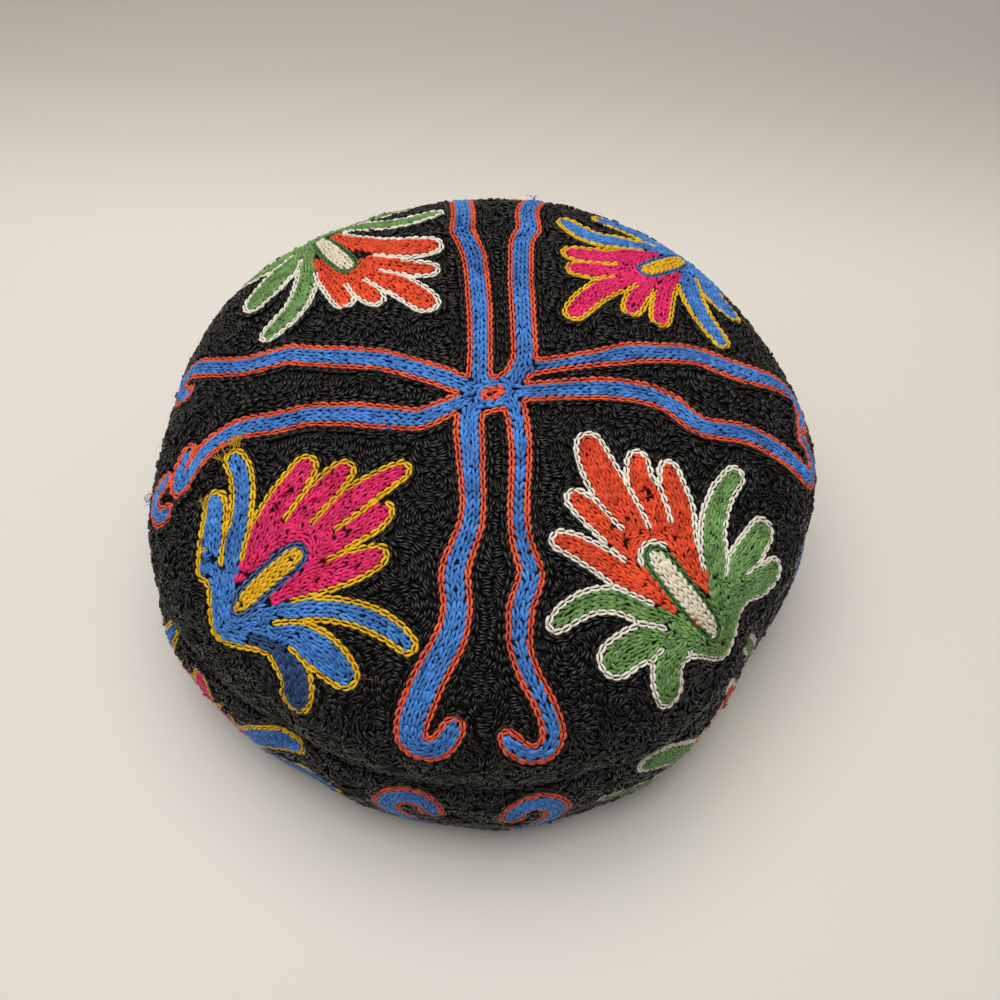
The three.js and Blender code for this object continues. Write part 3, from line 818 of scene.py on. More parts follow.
def blended(depths, sheet, foot, stamen):
    """All strokes as one shape, their joins rounded, most of all near the flower's foot and stamen."""
    from_foot = np.hypot(sheet.x - foot[0], sheet.y - foot[1])
    by_foot = 1 - (from_foot - round_by_foot[0]) / round_by_foot[1]
    by_stamen = 1 - (stamen - round_by_stamen[0]) / round_by_stamen[1]
    soft = round_least + round_more * np.clip(np.maximum(by_foot, by_stamen), 0, 1)
    nearest = np.minimum.reduce(depths)
    return nearest - soft * np.log(sum(np.exp((nearest - depth) / soft) for depth in depths))


def work_flower(flower, threads, sheet, chart, place):
    """Works a flower drawn on its own sheet; place turns its places into places on the chart."""
    petal_thread, leaf_thread, edge_thread = threads
    petal_paths = [smooth_path(knots) for knots in flower["petals"]]
    leaf_paths = [smooth_path(knots) for knots in flower["leaves"]]
    stamen = sheet.draw(smooth_path(flower["stamen"]))
    each_petal = [sheet.draw(path) for path in petal_paths]
    each_leaf = [sheet.draw(path) for path in leaf_paths]
    petals = np.minimum.reduce(each_petal)
    leaves = np.minimum.reduce(each_leaf)
    stamen_ring = stamen - edge_width
    whole = blended(each_petal + each_leaf + [stamen_ring], sheet, flower["foot"], stamen)
    pairs = [*zip(each_petal, each_petal[1:]), *zip(each_leaf, each_leaf[1:]), (petals, leaves)]

    for line in sheet.contour(whole, edge_off):
        needlework.work(chart, place(line), edge_thread, "edge")
    carved = sheet.empty()

    def carve(stretch):
        needlework.work(chart, place(stretch), edge_thread, "edge", None, slit_crowding)
        sheet.draw(np.column_stack([stretch, np.full(len(stretch), slit_half)])[::2], carved)

    tip = np.array(flower["stamen"][-1][:2])
    for line in sheet.contour(stamen, edge_width + arc_off):
        for stretch in runs_of(line, np.linalg.norm(line - tip, axis=1) < flower["arc"]):
            carve(stretch)
    for one, other in pairs:
        both = np.minimum(one, other)
        for line in sheet.contour(one - other, 0.0):
            depth_here = sheet.value(whole, line)
            kept = (depth_here > -slit_depth) & (depth_here < slit_past)
            kept &= sheet.value(both, line) < slit_past
            kept &= sheet.value(stamen, line) > edge_width + slit_off_stamen
            for stretch in runs_of(line, kept):
                if sheet.value(whole, stretch).max() > slit_start:
                    carve(stretch)

    ring_thread = leaf_thread + "_dull"
    for line in sheet.contour(stamen, edge_off):
        needlework.work(chart, place(line), ring_thread, "edge")
    stamen_paths = [smooth_path(flower["stamen"])]
    fill_shape(sheet, chart, stamen, stamen_paths, edge_thread + "_soft", flower["foot"], place)
    off_stamen = edge_width - stamen
    petal_room = np.maximum.reduce([whole, (petals - leaves) / 2, -carved, off_stamen])
    fill_shape(sheet, chart, petal_room, petal_paths, petal_thread, flower["foot"], place)
    dark = flower["dark"]
    if dark is not None:
        others = np.minimum.reduce([depth for k, depth in enumerate(each_leaf) if k != dark])
        dark_room = np.maximum.reduce([whole, (each_leaf[dark] - others) / 2, -carved, off_stamen])
        fill_shape(sheet, chart, dark_room, [leaf_paths[dark]], "navy", flower["foot"], place)
    leaf_room = np.maximum.reduce([whole, (leaves - petals) / 2, -carved, off_stamen])
    fill_shape(sheet, chart, leaf_room, leaf_paths, leaf_thread, flower["foot"], place)
    return petal_paths + leaf_paths


flower_sheet = Sheet((-46, 20), (46, 106), fine_step)
motif_depth = vine_depth.copy()
for flower in flowers.values():
    gore = math.radians(flower["gore"])

    def on_crown(spots, gore=gore):
        return turned(spots[:, ::-1], gore)

    for path in work_flower(flower, flower["threads"], flower_sheet, crown_chart, on_crown):
        crown_sheet.draw(np.column_stack([on_crown(path[:, :2]), path[:, 2]]), motif_depth)


# The band: a flower under each flower, and a pair of hooks under each arm

band_sheet = Sheet((-20, -1), (band_chart_length + 20, band_depth + 1), broad_step)
band_depth_map = band_sheet.empty()
small_sheet = Sheet((-48, -2), (52, band_depth + 2), fine_step)


def along_band(azimuth):
    """Where an azimuth in degrees lies along the band's chart."""
    return (math.radians(azimuth) - band_chart_turn) % (2 * math.pi) * band_chart_radius


def set_down(path, middle, way):
    """A path moved along the band to this middle, and mirrored where way is below zero."""
    made = path.copy()
    made[:, 0] = path[:, 0] * way + middle
    return made


for azimuth, way, threads in band_flowers:
    middle = along_band(azimuth)

    def on_band(spots, middle=middle, way=way):
        return set_down(spots, middle, way)[:, :2]

    for path in work_flower(band_flower, threads, small_sheet, band_chart, on_band):
        band_sheet.draw(set_down(path, middle, way), band_depth_map)

round_once = (-band_chart_length, 0, band_chart_length)
hook_paths = [
    set_down(smooth_path(band_hook), along_band(azimuth), way) for azimuth in band_arms for way in (1, -1)
]
hook_depth = band_sheet.empty()
for path in hook_paths:
    for shift in round_once:
        band_sheet.draw(set_down(path, shift, 1), hook_depth)
for line in band_sheet.contour(hook_depth, edge_off):
    inside = (line[:, 0] >= 0) & (line[:, 0] < band_chart_length) & (line[:, 1] > hook_floor)
    for stretch in runs_of(line, inside):
        needlework.work(band_chart, stretch, "red", "edge")
for path in hook_paths:
    vine_rows(band_chart, path, 2, lambda line: line[:, 1] > hook_floor)
band_motifs = np.minimum(band_depth_map, hook_depth)


# The black ground: a row beside every shape and edge, then coils that fill what is left

def coil_centres(sheet, room):
    """Scattered middles for the coils, none too near another."""
    j, i = np.nonzero(room > coil_room)
    order = chance.permutation(len(i))[:coil_tries]
    spots = np.stack([sheet.x[0, i[order]], sheet.y[j[order], 0]], -1)
    chosen = []
    for spot in spots:
        if all(math.dist(spot, other) > coil_spread for other in chosen):
            chosen.append(spot)
    return np.array(chosen)


def coil_lines(centres, sheet, room, limits):
    """A flat coil round each middle, not quite round, cut where the next coil or a shape begins."""
    turns = coil_reach / coil_step
    lines = []
    for k, centre in enumerate(centres):
        angle = np.sqrt(np.linspace(coil_eye, turns**2, int(turns**2 * coil_points))) * 2 * math.pi
        way = 1 if chance.random() < 0.5 else -1
        start = chance.uniform(0, 2 * math.pi)
        radius = coil_step * angle / (2 * math.pi)
        radius = radius * (1 + 0.08 * np.sin(3 * angle + start) + 0.05 * np.sin(5.3 * angle))
        ray = way * angle + start
        line = centre + np.stack([radius * np.cos(ray), radius * np.sin(ray)], -1)
        own = np.hypot(*(line - centre).T)
        gaps = np.linalg.norm(line[:, None] - np.delete(centres, k, 0)[None], axis=2)
        kept = (own < gaps.min(1) + coil_overlap) & (sheet.value(room, line) > coil_inset)
        kept &= (line[:, 0] >= limits[0]) & (line[:, 0] < limits[1])
        lines += runs_of(line, kept)
    return lines


from_apex = np.hypot(crown_sheet.x, crown_sheet.y)
crown_room = np.minimum(motif_depth - edge_width, crown_run - ground_off_seam - from_apex)
for line in crown_sheet.contour(-crown_room, ground_first):
    needlework.work(crown_chart, line, "black", "ground")
crown_centres = coil_centres(crown_sheet, crown_room)
for line in coil_lines(crown_centres, crown_sheet, crown_room, (-chart_reach, chart_reach)):
    needlework.work(crown_chart, line, "black", "ground")
fill_gaps(crown_sheet, crown_chart, -crown_room, ground_bare, "black", "ground", None, np.array)

off_edges = np.minimum(band_sheet.y - ground_off_seam, band_depth - ground_off_seam - band_sheet.y)
band_room = np.minimum(band_motifs - edge_width, off_edges)
for line in band_sheet.contour(-band_room, ground_first):
    for stretch in runs_of(line, (line[:, 0] >= 0) & (line[:, 0] < band_chart_length)):
        needlework.work(band_chart, stretch, "black", "ground")
once_round = (band_sheet.x > 0) & (band_sheet.x < band_chart_length)
first_centres = coil_centres(band_sheet, np.where(once_round, band_room, 0))
band_centres = np.vstack([first_centres + (shift, 0) for shift in round_once])
past_end = coil_reach + 1
near_band = (band_centres[:, 0] > -past_end) & (band_centres[:, 0] < band_chart_length + past_end)
band_centres = band_centres[near_band]
for line in coil_lines(band_centres, band_sheet, band_room, (0, band_chart_length)):
    needlework.work(band_chart, line, "black", "ground")
band_bare = np.where(once_round, -band_room, Sheet.far)
fill_gaps(band_sheet, band_chart, band_bare, ground_bare, "black", "ground", None, np.array)


# From links to strands

# Stations along a strand: (share of the link, how far out it leans, girth, lift). The first and last
# are the points where the strand leaves and enters the work.
strand_shapes = {
    "fill": [(-0.28, 0.06, 0, -0.3), (0.04, 0.22, 0.9, 0.55), (0.5, 0.5, 1.0, 1.0),
             (0.98, 0.76, 0.95, 0.85), (1.36, 0.9, 0, -0.2)],
    "edge": [(-0.2, 0.0, 0, -0.2), (0.1, 0.3, 0.86, 0.6), (0.5, 0.62, 1.0, 1.0), (0.9, 0.6, 0.96, 0.95),
             (1.26, 0.25, 0, 0.3)],
    "ground": [(-0.3, 0.04, 0, -0.35), (0.2, 0.34, 1.0, 0.9), (0.88, 0.7, 0.96, 0.85),
               (1.38, 0.88, 0, -0.35)],
}
strand_shapes["vine"] = strand_shapes["fill"]
strand_sides = 5
strand_flatness = 0.94
uneven_size = 0.06
uneven_girth = 0.05
uneven_length = 0.05
uneven_tone = 0.22

# A strand's tips take up this share of its map each, and its body the rest.
map_tip = 0.15
map_body = 0.7

# A link looks for its neighbours this far off. They lie beside it where they overlap it by these
# shares of the two lengths, and are another row past the last distance.
neighbour_reach = 3.0
beside_own = 0.45
beside_other = 0.3
row_gap = 0.35

count = len(needlework.done)
link_chart = np.array([0 if entry[0] is crown_chart else 1 for entry in needlework.done])
link_start = np.array([entry[1] for entry in needlework.done])
link_end = np.array([entry[2] for entry in needlework.done])
link_thread = np.array([entry[3] for entry in needlework.done])
link_kind = np.array([entry[4] for entry in needlework.done])
charts = (crown_chart, band_chart)


def on_cloth(spots, which):
    """Place, facing and the two map steps for spots on either chart."""
    found = [np.zeros((len(spots), 3)) for _ in range(4)]
    for number, chart in enumerate(charts):
        chosen = which == number
        if chosen.any():
            for whole, part in zip(found, chart.at(spots[chosen])):
                whole[chosen] = part
    return found


def reaches():
    """How far each link may spread to its left and right before it meets the next row."""
    middle, facing, _, _ = on_cloth((link_start + link_end) / 2, link_chart)
    first, last = on_cloth(link_start, link_chart)[0], on_cloth(link_end, link_chart)[0]
    forward, length = unit(last - first), np.linalg.norm(last - first, axis=1)
    left = np.cross(facing, forward)
    half = np.array([links[kind]["half"] for kind in link_kind])
    most = np.array([links[kind]["most"] for kind in link_kind])
    least = np.array([links[kind]["least"] for kind in link_kind])
    tree = kdtree.KDTree(count)
    for k, place in enumerate(middle.tolist()):
        tree.insert(place, k)
    tree.balance()
    room = np.stack([most, most])
    for k in range(count):
        others = [entry[1] for entry in tree.find_range(middle[k].tolist(), neighbour_reach) if entry[1] != k]
        if not others:
            continue
        gap = middle[others] - middle[k]
        beside = np.abs(gap @ forward[k]) < beside_own * length[k] + beside_other * length[others]
        aside = gap @ left[k]
        share = half[k] / (half[k] + half[others])
        for side, way in enumerate((1, -1)):
            near = beside & (aside * way > row_gap)
            if near.any():
                room[side, k] = min(room[side, k], (aside * way * share)[near].min())
    return np.maximum(room, least)


room_left, room_right = reaches()


def strand_mesh(name, chosen, kind):
    """One mesh of tapered strands, two to a link. None reaches under the surface the cap rests on."""
    shape, sides = strand_shapes[kind], strand_sides
    plump = links[kind]["plump"]
    many = len(chosen)
    start, end, which = link_start[chosen], link_end[chosen], link_chart[chosen]
    start = start + chance.normal(0, links[kind]["stray"], start.shape)
    end = end + chance.normal(0, links[kind]["stray"], end.shape)
    span = end - start
    size = 1 + chance.normal(0, uneven_size, many)
    tone = np.clip(0.5 + chance.normal(0, uneven_tone, many), 0, 1)
    angles = np.arange(sides) / sides * 2 * math.pi
    rings = len(shape) - 2
    per_strand = rings * sides + 2
    points = np.zeros((many, 2, per_strand, 3))
    slack = chance.normal(0, uneven_length, (many, 2))
    ruffle = chance.normal(0, links[kind]["ruffle"], (many, 2))
    for side, (way, room) in enumerate(((1, room_left[chosen]), (-1, room_right[chosen]))):
        girth_here = plump * room * size * (1 + chance.normal(0, uneven_girth, many))
        for k, (share, bow, girth, lift) in enumerate(shape):
            along = share + slack[:, side, None] * (k > 0)
            place, facing, run, rise = on_cloth(start + span * along, which)
            forward = unit(run * span[:, :1] + rise * span[:, 1:])
            left = unit(np.cross(facing, forward))
            radius = (girth_here * girth)[:, None]
            out = (bow * room * way)[:, None]
            height = girth_here * lift + (pile + ruffle[:, side] if 0 < k <= rings else 0)
            centre = place + left * out + facing * height[:, None]
            centre[:, 2] = np.maximum(centre[:, 2], radius[:, 0])
            if k == 0:
                points[:, side, 0] = centre
            elif k == rings + 1:
                points[:, side, -1] = centre
            else:
                ring = slice(1 + (k - 1) * sides, 1 + k * sides)
                spoke = left[:, None] * np.cos(angles)[:, None]
                spoke = spoke + facing[:, None] * np.sin(angles)[:, None] * strand_flatness
                points[:, side, ring] = centre[:, None] + spoke * radius[:, None]
    corners, sizes, unrolled = [], [], []
    for k in range(sides):
        after = (k + 1) % sides
        corners += [0, 1 + after, 1 + k]
        unrolled += [(0, k / sides), (map_tip, (k + 1) / sides), (map_tip, k / sides)]
        sizes.append(3)
        for ring in range(rings - 1):
            low, high = 1 + ring * sides, 1 + (ring + 1) * sides
            near = map_tip + map_body * ring / (rings - 1)
            far = map_tip + map_body * (ring + 1) / (rings - 1)
            corners += [low + k, low + after, high + after, high + k]
            unrolled += [(near, k / sides), (near, (k + 1) / sides)]
            unrolled += [(far, (k + 1) / sides), (far, k / sides)]
            sizes.append(4)
        top = 1 + (rings - 1) * sides
        corners += [top + k, top + after, per_strand - 1]
        unrolled += [(1 - map_tip, k / sides), (1 - map_tip, (k + 1) / sides), (1, k / sides)]
        sizes.append(3)
    strands = 2 * many
    made = bpy.data.meshes.new(name)
    made.vertices.add(strands * per_strand)
    made.vertices.foreach_set("co", (points * mm).astype(np.float32).ravel())
    loops = (np.arange(strands)[:, None] * per_strand + np.array(corners)).ravel()
    made.loops.add(len(loops))
    made.loops.foreach_set("vertex_index", loops.astype(np.int32))
    firsts = np.concatenate(([0], np.cumsum(sizes)[:-1]))
    begins = (np.arange(strands)[:, None] * len(corners) + firsts).ravel()
    made.polygons.add(len(begins))
    made.polygons.foreach_set("loop_start", begins.astype(np.int32))
    made.update(calc_edges=True)
    made.shade_smooth()
    strand_map = made.uv_layers.new(name="strand")
    strand_map.data.foreach_set("uv", np.tile(np.array(unrolled, np.float32), (strands, 1)).ravel())
    tones = made.attributes.new("tone", "FLOAT", "POINT")
    tones.data.foreach_set("value", np.repeat(tone, 2 * per_strand).astype(np.float32))
    return made


# Finishes

def screen(red, green, blue):
    """A colour given as it looks on a screen, from 0 to 255."""
    parts = np.array([red, green, blue]) / 255
    return (*np.where(parts <= 0.04045, parts / 12.92, ((parts + 0.055) / 1.055) ** 2.4), 1.0)


def put(tree, kind, inputs=None, **traits):
    """Adds a node. An input is either a value or a socket to link from."""
    made = tree.nodes.new(kind)
    for trait, value in traits.items():
        setattr(made, trait, value)
    for name, value in (inputs or {}).items():
        if isinstance(value, bpy.types.NodeSocket):
            tree.links.new(value, made.inputs[name])
        else:
            made.inputs[name].default_value = value
    return made


def sum_up(tree, operation, first, second, third=None):
    """The outcome of one sum, from values or sockets."""
    inputs = {0: first, 1: second}
    if third is not None:
        inputs[2] = third
    return put(tree, "ShaderNodeMath", inputs, operation=operation).outputs[0]


def mixed(tree, share, first, second):
    """A colour between two, each a colour or a socket, by this share."""
    mix = put(tree, "ShaderNodeMix", {"Factor": share}, data_type="RGBA")
    for socket, colour in ((mix.inputs[6], first), (mix.inputs[7], second)):
        if isinstance(colour, bpy.types.NodeSocket):
            tree.links.new(colour, socket)
        else:
            socket.default_value = colour
    return mix.outputs[2]


def noise(tree, place, **values):
    """A noise pattern over this place."""
    named = {name.capitalize(): value for name, value in values.items()}
    return put(tree, "ShaderNodeTexNoise", {"Vector": place, **named}).outputs["Fac"]


surface_outputs = [
    ("Colour", "NodeSocketColor"),
    ("Roughness", "NodeSocketFloat"),
    ("Height", "NodeSocketFloat"),
]


def new_group(name, inputs):
    """A node group with these inputs and a surface's outputs, and the nodes that carry them."""
    group = bpy.data.node_groups.new(name, "ShaderNodeTree")
    for label, kind, value in inputs:
        socket = group.interface.new_socket(name=label, in_out="INPUT", socket_type=kind)
        socket.default_value = value
    for label, kind in surface_outputs:
        group.interface.new_socket(name=label, in_out="OUTPUT", socket_type=kind)
    return group, group.nodes.new("NodeGroupInput"), group.nodes.new("NodeGroupOutput")


def give(group, result, colour, rough, height):
    """Links a surface's three outcomes to its group's outputs."""
    for (label, _), socket in zip(surface_outputs, (colour, rough, height)):
        group.links.new(socket, result.inputs[label])


# The thread's fibres: how they stretch along and round the strand and shift from strand to strand, how fine
# they are, and what they and the plies do to its colour, gloss and relief. Their effect on its colour is
# partly the fibres' own uneven tone and partly painted shade and highlight: darker in the hollows of the
# fibre and ply relief, lighter on its crowns. Patches are the uneven dye from place to place.
fibres_along = 2.2
fibres_round = 5.0
fibres_shift = 37.0
fibres_depth = 91.0
fibres_scale = 1.6
fibres_tone_and_shade = 0.9
fibres_gloss = -0.25
fibres_relief = 0.8
plies_painted_shade = 0.10
plies_relief = 0.35
patches_scale = 55.0
patches_colour = 1.1
thread_paleness = 0.62


def spun_thread():
    """Loosely spun shiny thread: plies that wind round the strand, fine fibres along it, uneven dye, and
    painted shade and highlight that follow the fibre and ply relief.
    """
    group, given, result = new_group(
        "spun_thread",
        [
            ("Dye", "NodeSocketColor", (0.5, 0.5, 0.5, 1)),
            ("Deep dye", "NodeSocketColor", (0.2, 0.2, 0.2, 1)),
            ("Plies", "NodeSocketFloat", 3.0),
            ("Wind", "NodeSocketFloat", 1.6),
            ("Unevenness", "NodeSocketFloat", 0.5),
            ("Dullness", "NodeSocketFloat", 0.62),
        ],
    )
    strand = put(group, "ShaderNodeUVMap", uv_map="strand")
    parts = put(group, "ShaderNodeSeparateXYZ", {0: strand.outputs[0]})
    tone = put(group, "ShaderNodeAttribute", attribute_name="tone", attribute_type="GEOMETRY").outputs["Fac"]
    round_it = sum_up(group, "MULTIPLY", parts.outputs["Y"], given.outputs["Plies"])
    phase = sum_up(group, "MULTIPLY_ADD", parts.outputs["X"], given.outputs["Wind"], round_it)
    ply = sum_up(group, "SINE", sum_up(group, "MULTIPLY", phase, 2 * math.pi), 0.0)
    shifted = sum_up(group, "MULTIPLY", tone, fibres_shift)
    spread = put(
        group,
        "ShaderNodeCombineXYZ",
        {
            "X": sum_up(group, "MULTIPLY", parts.outputs["X"], fibres_along),
            "Y": sum_up(group, "MULTIPLY_ADD", phase, fibres_round, shifted),
            "Z": sum_up(group, "MULTIPLY", tone, fibres_depth),
        },
    )
    fibre = noise(group, spread.outputs[0], scale=fibres_scale, detail=4.0, roughness=0.65)
    patch_place = put(group, "ShaderNodeTexCoord").outputs["Object"]
    patch = noise(group, patch_place, scale=patches_scale, detail=2.0)
    uneven = sum_up(group, "SUBTRACT", tone, 0.5)
    uneven = sum_up(group, "MULTIPLY_ADD", sum_up(group, "SUBTRACT", patch, 0.5), patches_colour, uneven)
    uneven = sum_up(group, "MULTIPLY", uneven, given.outputs["Unevenness"])
    # The share of dye against deep dye: uneven dye, plus painted shade in the hollows of the fibre and ply
    # relief and painted highlight on its crowns.
    dye_share_and_painted_shade = sum_up(group, "SUBTRACT", fibre, 0.5)
    dye_share_and_painted_shade = sum_up(group, "MULTIPLY_ADD", dye_share_and_painted_shade, fibres_tone_and_shade, thread_paleness)
    dye_share_and_painted_shade = sum_up(group, "MULTIPLY_ADD", ply, plies_painted_shade, dye_share_and_painted_shade)
    dye_share_and_painted_shade = put(group, "ShaderNodeMath", {0: dye_share_and_painted_shade, 1: uneven}, operation="ADD", use_clamp=True).outputs[0]
    colour = mixed(group, dye_share_and_painted_shade, given.outputs["Deep dye"], given.outputs["Dye"])
    rough = sum_up(group, "MULTIPLY_ADD", fibre, fibres_gloss, given.outputs["Dullness"])
    height = sum_up(group, "MULTIPLY", fibre, fibres_relief)
    height = sum_up(group, "MULTIPLY_ADD", ply, plies_relief, height)
    give(group, result, colour, rough, height)
    return group


# The weave: how fine its slubs are, and what its crossings and slubs do to relief and gloss. Its colour
# follows the same relief, darker in the low places between the yarns: painted shade.
slubs_scale = 260.0
slubs_gloss = 0.2
crossings_relief = 0.45
weave_dullness = 0.72


def plain_weave():
    """Plain cotton weave on a map in millimetres, with slubs, and painted shade in the low places between the
    yarns.
    """
    group, given, result = new_group(
        "plain_weave",
        [
            ("Yarn", "NodeSocketColor", (0.03, 0.03, 0.03, 1)),
            ("Gap", "NodeSocketColor", (0.01, 0.01, 0.01, 1)),
            ("Yarns per mm", "NodeSocketFloat", 1.6),
        ],
    )
    laid = put(group, "ShaderNodeUVMap", uv_map="weave")
    parts = put(group, "ShaderNodeSeparateXYZ", {0: laid.outputs[0]})
    tread = sum_up(group, "MULTIPLY", given.outputs["Yarns per mm"], math.pi)
    warp = sum_up(group, "SINE", sum_up(group, "MULTIPLY", parts.outputs["X"], tread), 0.0)
    weft = sum_up(group, "SINE", sum_up(group, "MULTIPLY", parts.outputs["Y"], tread), 0.0)
    crossing = sum_up(group, "ABSOLUTE", sum_up(group, "ADD", warp, weft), 0.0)
    slub_place = put(group, "ShaderNodeTexCoord").outputs["Object"]
    slub = noise(group, slub_place, scale=slubs_scale, detail=3.0)
    raised = sum_up(group, "MULTIPLY_ADD", crossing, crossings_relief, slub)
    # Painted shade: the colour runs from the gap colour in the low places of the weave to the yarn colour on
    # its high ones.
    colour = mixed(group, raised, given.outputs["Gap"], given.outputs["Yarn"])
    rough = sum_up(group, "MULTIPLY_ADD", slub, slubs_gloss, weave_dullness)
    give(group, result, colour, rough, raised)
    return group


thread_group = spun_thread()
weave_group = plain_weave()
relief_strength = 0.7
sheen_roughness = 0.45


def finish(name, group, values, bump, sheen, gloss):
    """A material whose colour, roughness and relief come from a group."""
    material = bpy.data.materials.new(name)
    material.use_nodes = True
    tree = material.node_tree
    shader = tree.nodes["Principled BSDF"]
    surface = put(tree, "ShaderNodeGroup", node_tree=group)
    for label, value in values.items():
        surface.inputs[label].default_value = value
    relief = put(
        tree,
        "ShaderNodeBump",
        {"Height": surface.outputs["Height"], "Strength": relief_strength, "Distance": bump},
    )
    tree.links.new(surface.outputs["Colour"], shader.inputs["Base Color"])
    tree.links.new(surface.outputs["Roughness"], shader.inputs["Roughness"])
    tree.links.new(relief.outputs["Normal"], shader.inputs["Normal"])
    shader.inputs["Sheen Weight"].default_value = sheen
    shader.inputs["Sheen Roughness"].default_value = sheen_roughness
    shader.inputs["Specular IOR Level"].default_value = gloss
    return material


# Each thread's dye, its deep dye, which the fibre and ply relief also mix in as painted shade, and how
# unevenly it took
dyes = {
    "black": (screen(22, 21, 19), screen(2, 2, 2), 0.6),
    "blue": (screen(86, 156, 240), screen(5, 32, 88), 0.55),
    "blue_dull": (screen(86, 124, 180), screen(36, 64, 110), 0.6),
    "navy": (screen(56, 88, 138), screen(18, 34, 62), 0.7),
    "red": (screen(254, 112, 74), screen(170, 38, 20), 0.5),
    "orange": (screen(255, 94, 52), screen(132, 16, 6), 0.55),
    "crimson": (screen(255, 52, 126), screen(140, 0, 44), 0.55),
    "yellow": (screen(255, 210, 34), screen(186, 126, 2), 0.5),
    "yellow_soft": (screen(250, 202, 34), screen(192, 132, 8), 0.6),
    "green": (screen(136, 180, 106), screen(28, 62, 18), 0.6),
    "green_dull": (screen(88, 134, 76), screen(32, 70, 28), 0.6),
    "white": (screen(253, 249, 238), screen(212, 203, 182), 0.4),
    "white_soft": (screen(244, 236, 214), screen(200, 186, 156), 0.5),
}
thread_relief = 0.12 * mm
black_look = {"dullness": 0.42, "sheen": 0.0, "gloss": 0.4}
bright_look = {"dullness": 0.56, "sheen": 0.02, "gloss": 0.24}
threads = {}
for name, (dye, deep, uneven) in dyes.items():
    look = black_look if name == "black" else bright_look
    values = {"Dye": dye, "Deep dye": deep, "Unevenness": uneven, "Dullness": look["dullness"]}
    threads[name] = finish(
        name + "_thread", thread_group, values, thread_relief, look["sheen"], look["gloss"]
    )
cotton_relief = 0.15 * mm
cotton_gloss = 0.2
# The yarn's dye, and the darker colour painted as shade in the gaps between the yarns.
cotton_dye_and_gap_shade = {"Yarn": screen(16, 16, 15), "Gap": screen(4, 4, 4)}
cotton = finish("black_cotton", weave_group, cotton_dye_and_gap_shade, cotton_relief, 0.0, cotton_gloss)
for piece in (crown_cloth, band_cloth):
    piece.data.materials.clear()
    piece.data.materials.append(cotton)


# The worked pieces: one for each thread and kind of link, on the crown and on the band

def add_piece(name, made, materials):
    """Puts a mesh into the scene as a piece of the cap."""
    for material in materials:
        made.materials.append(material)
    piece = bpy.data.objects.new(name, made)
    bpy.context.scene.collection.objects.link(piece)
    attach(piece, "root")
    return piece


link_middle = on_cloth((link_start + link_end) / 2, link_chart)[0]
quarter = np.floor((np.degrees(np.arctan2(link_middle[:, 1], link_middle[:, 0])) + 45) / 90).astype(int) % 4
quarters = ("right", "back", "left", "front")
worked = {0: [], 1: []}
for part, slot in ((0, "crown_cloth"), (1, "band_cloth")):
    place_name = ("crown", "band")[part]
    for thread in dyes:
        for kind in links:
            chosen = np.flatnonzero((link_chart == part) & (link_thread == thread) & (link_kind == kind))
            if not len(chosen):
                continue
            if kind == "ground":
                for number, side in enumerate(quarters):
                    here = chosen[quarter[chosen] == number]
                    name = f"{place_name}_ground_{side}"
                    made = strand_mesh(name, here, kind)
                    worked[part].append(add_piece(name, made, [threads[thread]]))
            else:
                name = f"{place_name}_{thread}_{kind}"
                made = strand_mesh(name, chosen, kind)
                worked[part].append(add_piece(name, made, [threads[thread]]))


# Fine fuzz all over, and the few loose thread ends that the photograph shows

hair_floor = 0.05
hair_tip = 0.35
hair_across = np.array([0.31, 0.17, 0.93])


def hairs(name, lines, radius, sides, dye_of):
    """One mesh of thin round hairs, each along its own line of places and tapered to its end. They
    stay above the surface that the cap rests on."""
    many, stations = lines.shape[:2]
    lines[..., 2] = np.maximum(lines[..., 2], hair_floor)
    run = unit(np.gradient(lines, axis=1))
    side = unit(np.cross(run, hair_across))
    over = np.cross(run, side)
    angles = np.arange(sides) / sides * 2 * math.pi
    taper = np.linspace(1, hair_tip, stations)[None, :, None, None] * radius[:, None, None, None]
    spokes = side[:, :, None] * np.cos(angles)[:, None] + over[:, :, None] * np.sin(angles)[:, None]
    points = lines[:, :, None] + spokes * taper
    faces = []
    for ring in range(stations - 1):
        for k in range(sides):
            after = (k + 1) % sides
            low, high = ring * sides, (ring + 1) * sides
            faces.append((low + k, low + after, high + after, high + k))
    begin = np.arange(many)[:, None, None] * stations * sides
    made = bpy.data.meshes.new(name)
    all_faces = (begin + np.array(faces)).reshape(-1, 4).tolist()
    made.from_pydata((points.reshape(-1, 3) * mm).tolist(), [], all_faces)
    made.shade_smooth()
    made.uv_layers.new(name="strand")
    tones = made.attributes.new("tone", "FLOAT", "POINT")
    tones.data.foreach_set("value", np.repeat(chance.random(many), stations * sides).astype(np.float32))
    dye_names = list(dyes)
    piece = add_piece(name, made, [threads[dye] for dye in dye_names])
    number = [dye_names.index(dye) for dye in dye_of]
    made.polygons.foreach_set("material_index", np.repeat(number, len(faces)).astype(np.int32))
    return piece


# A hair of the fuzz: how far it starts from its link's middle, how it turns, bends, leans and droops,
# its length as a chance spread with a shortest, its lift off the cloth and its radius
fuzz_stray = 0.4
fuzz_turn = 1.4
fuzz_bend = 0.5
fuzz_lean = (0.15, 0.75)
fuzz_length = (3.0, 0.75)
fuzz_shortest = 0.8
fuzz_stations = 4
fuzz_lift = 0.7
fuzz_droop = 0.35
fuzz_radius = 0.032
fuzz_sides = 3


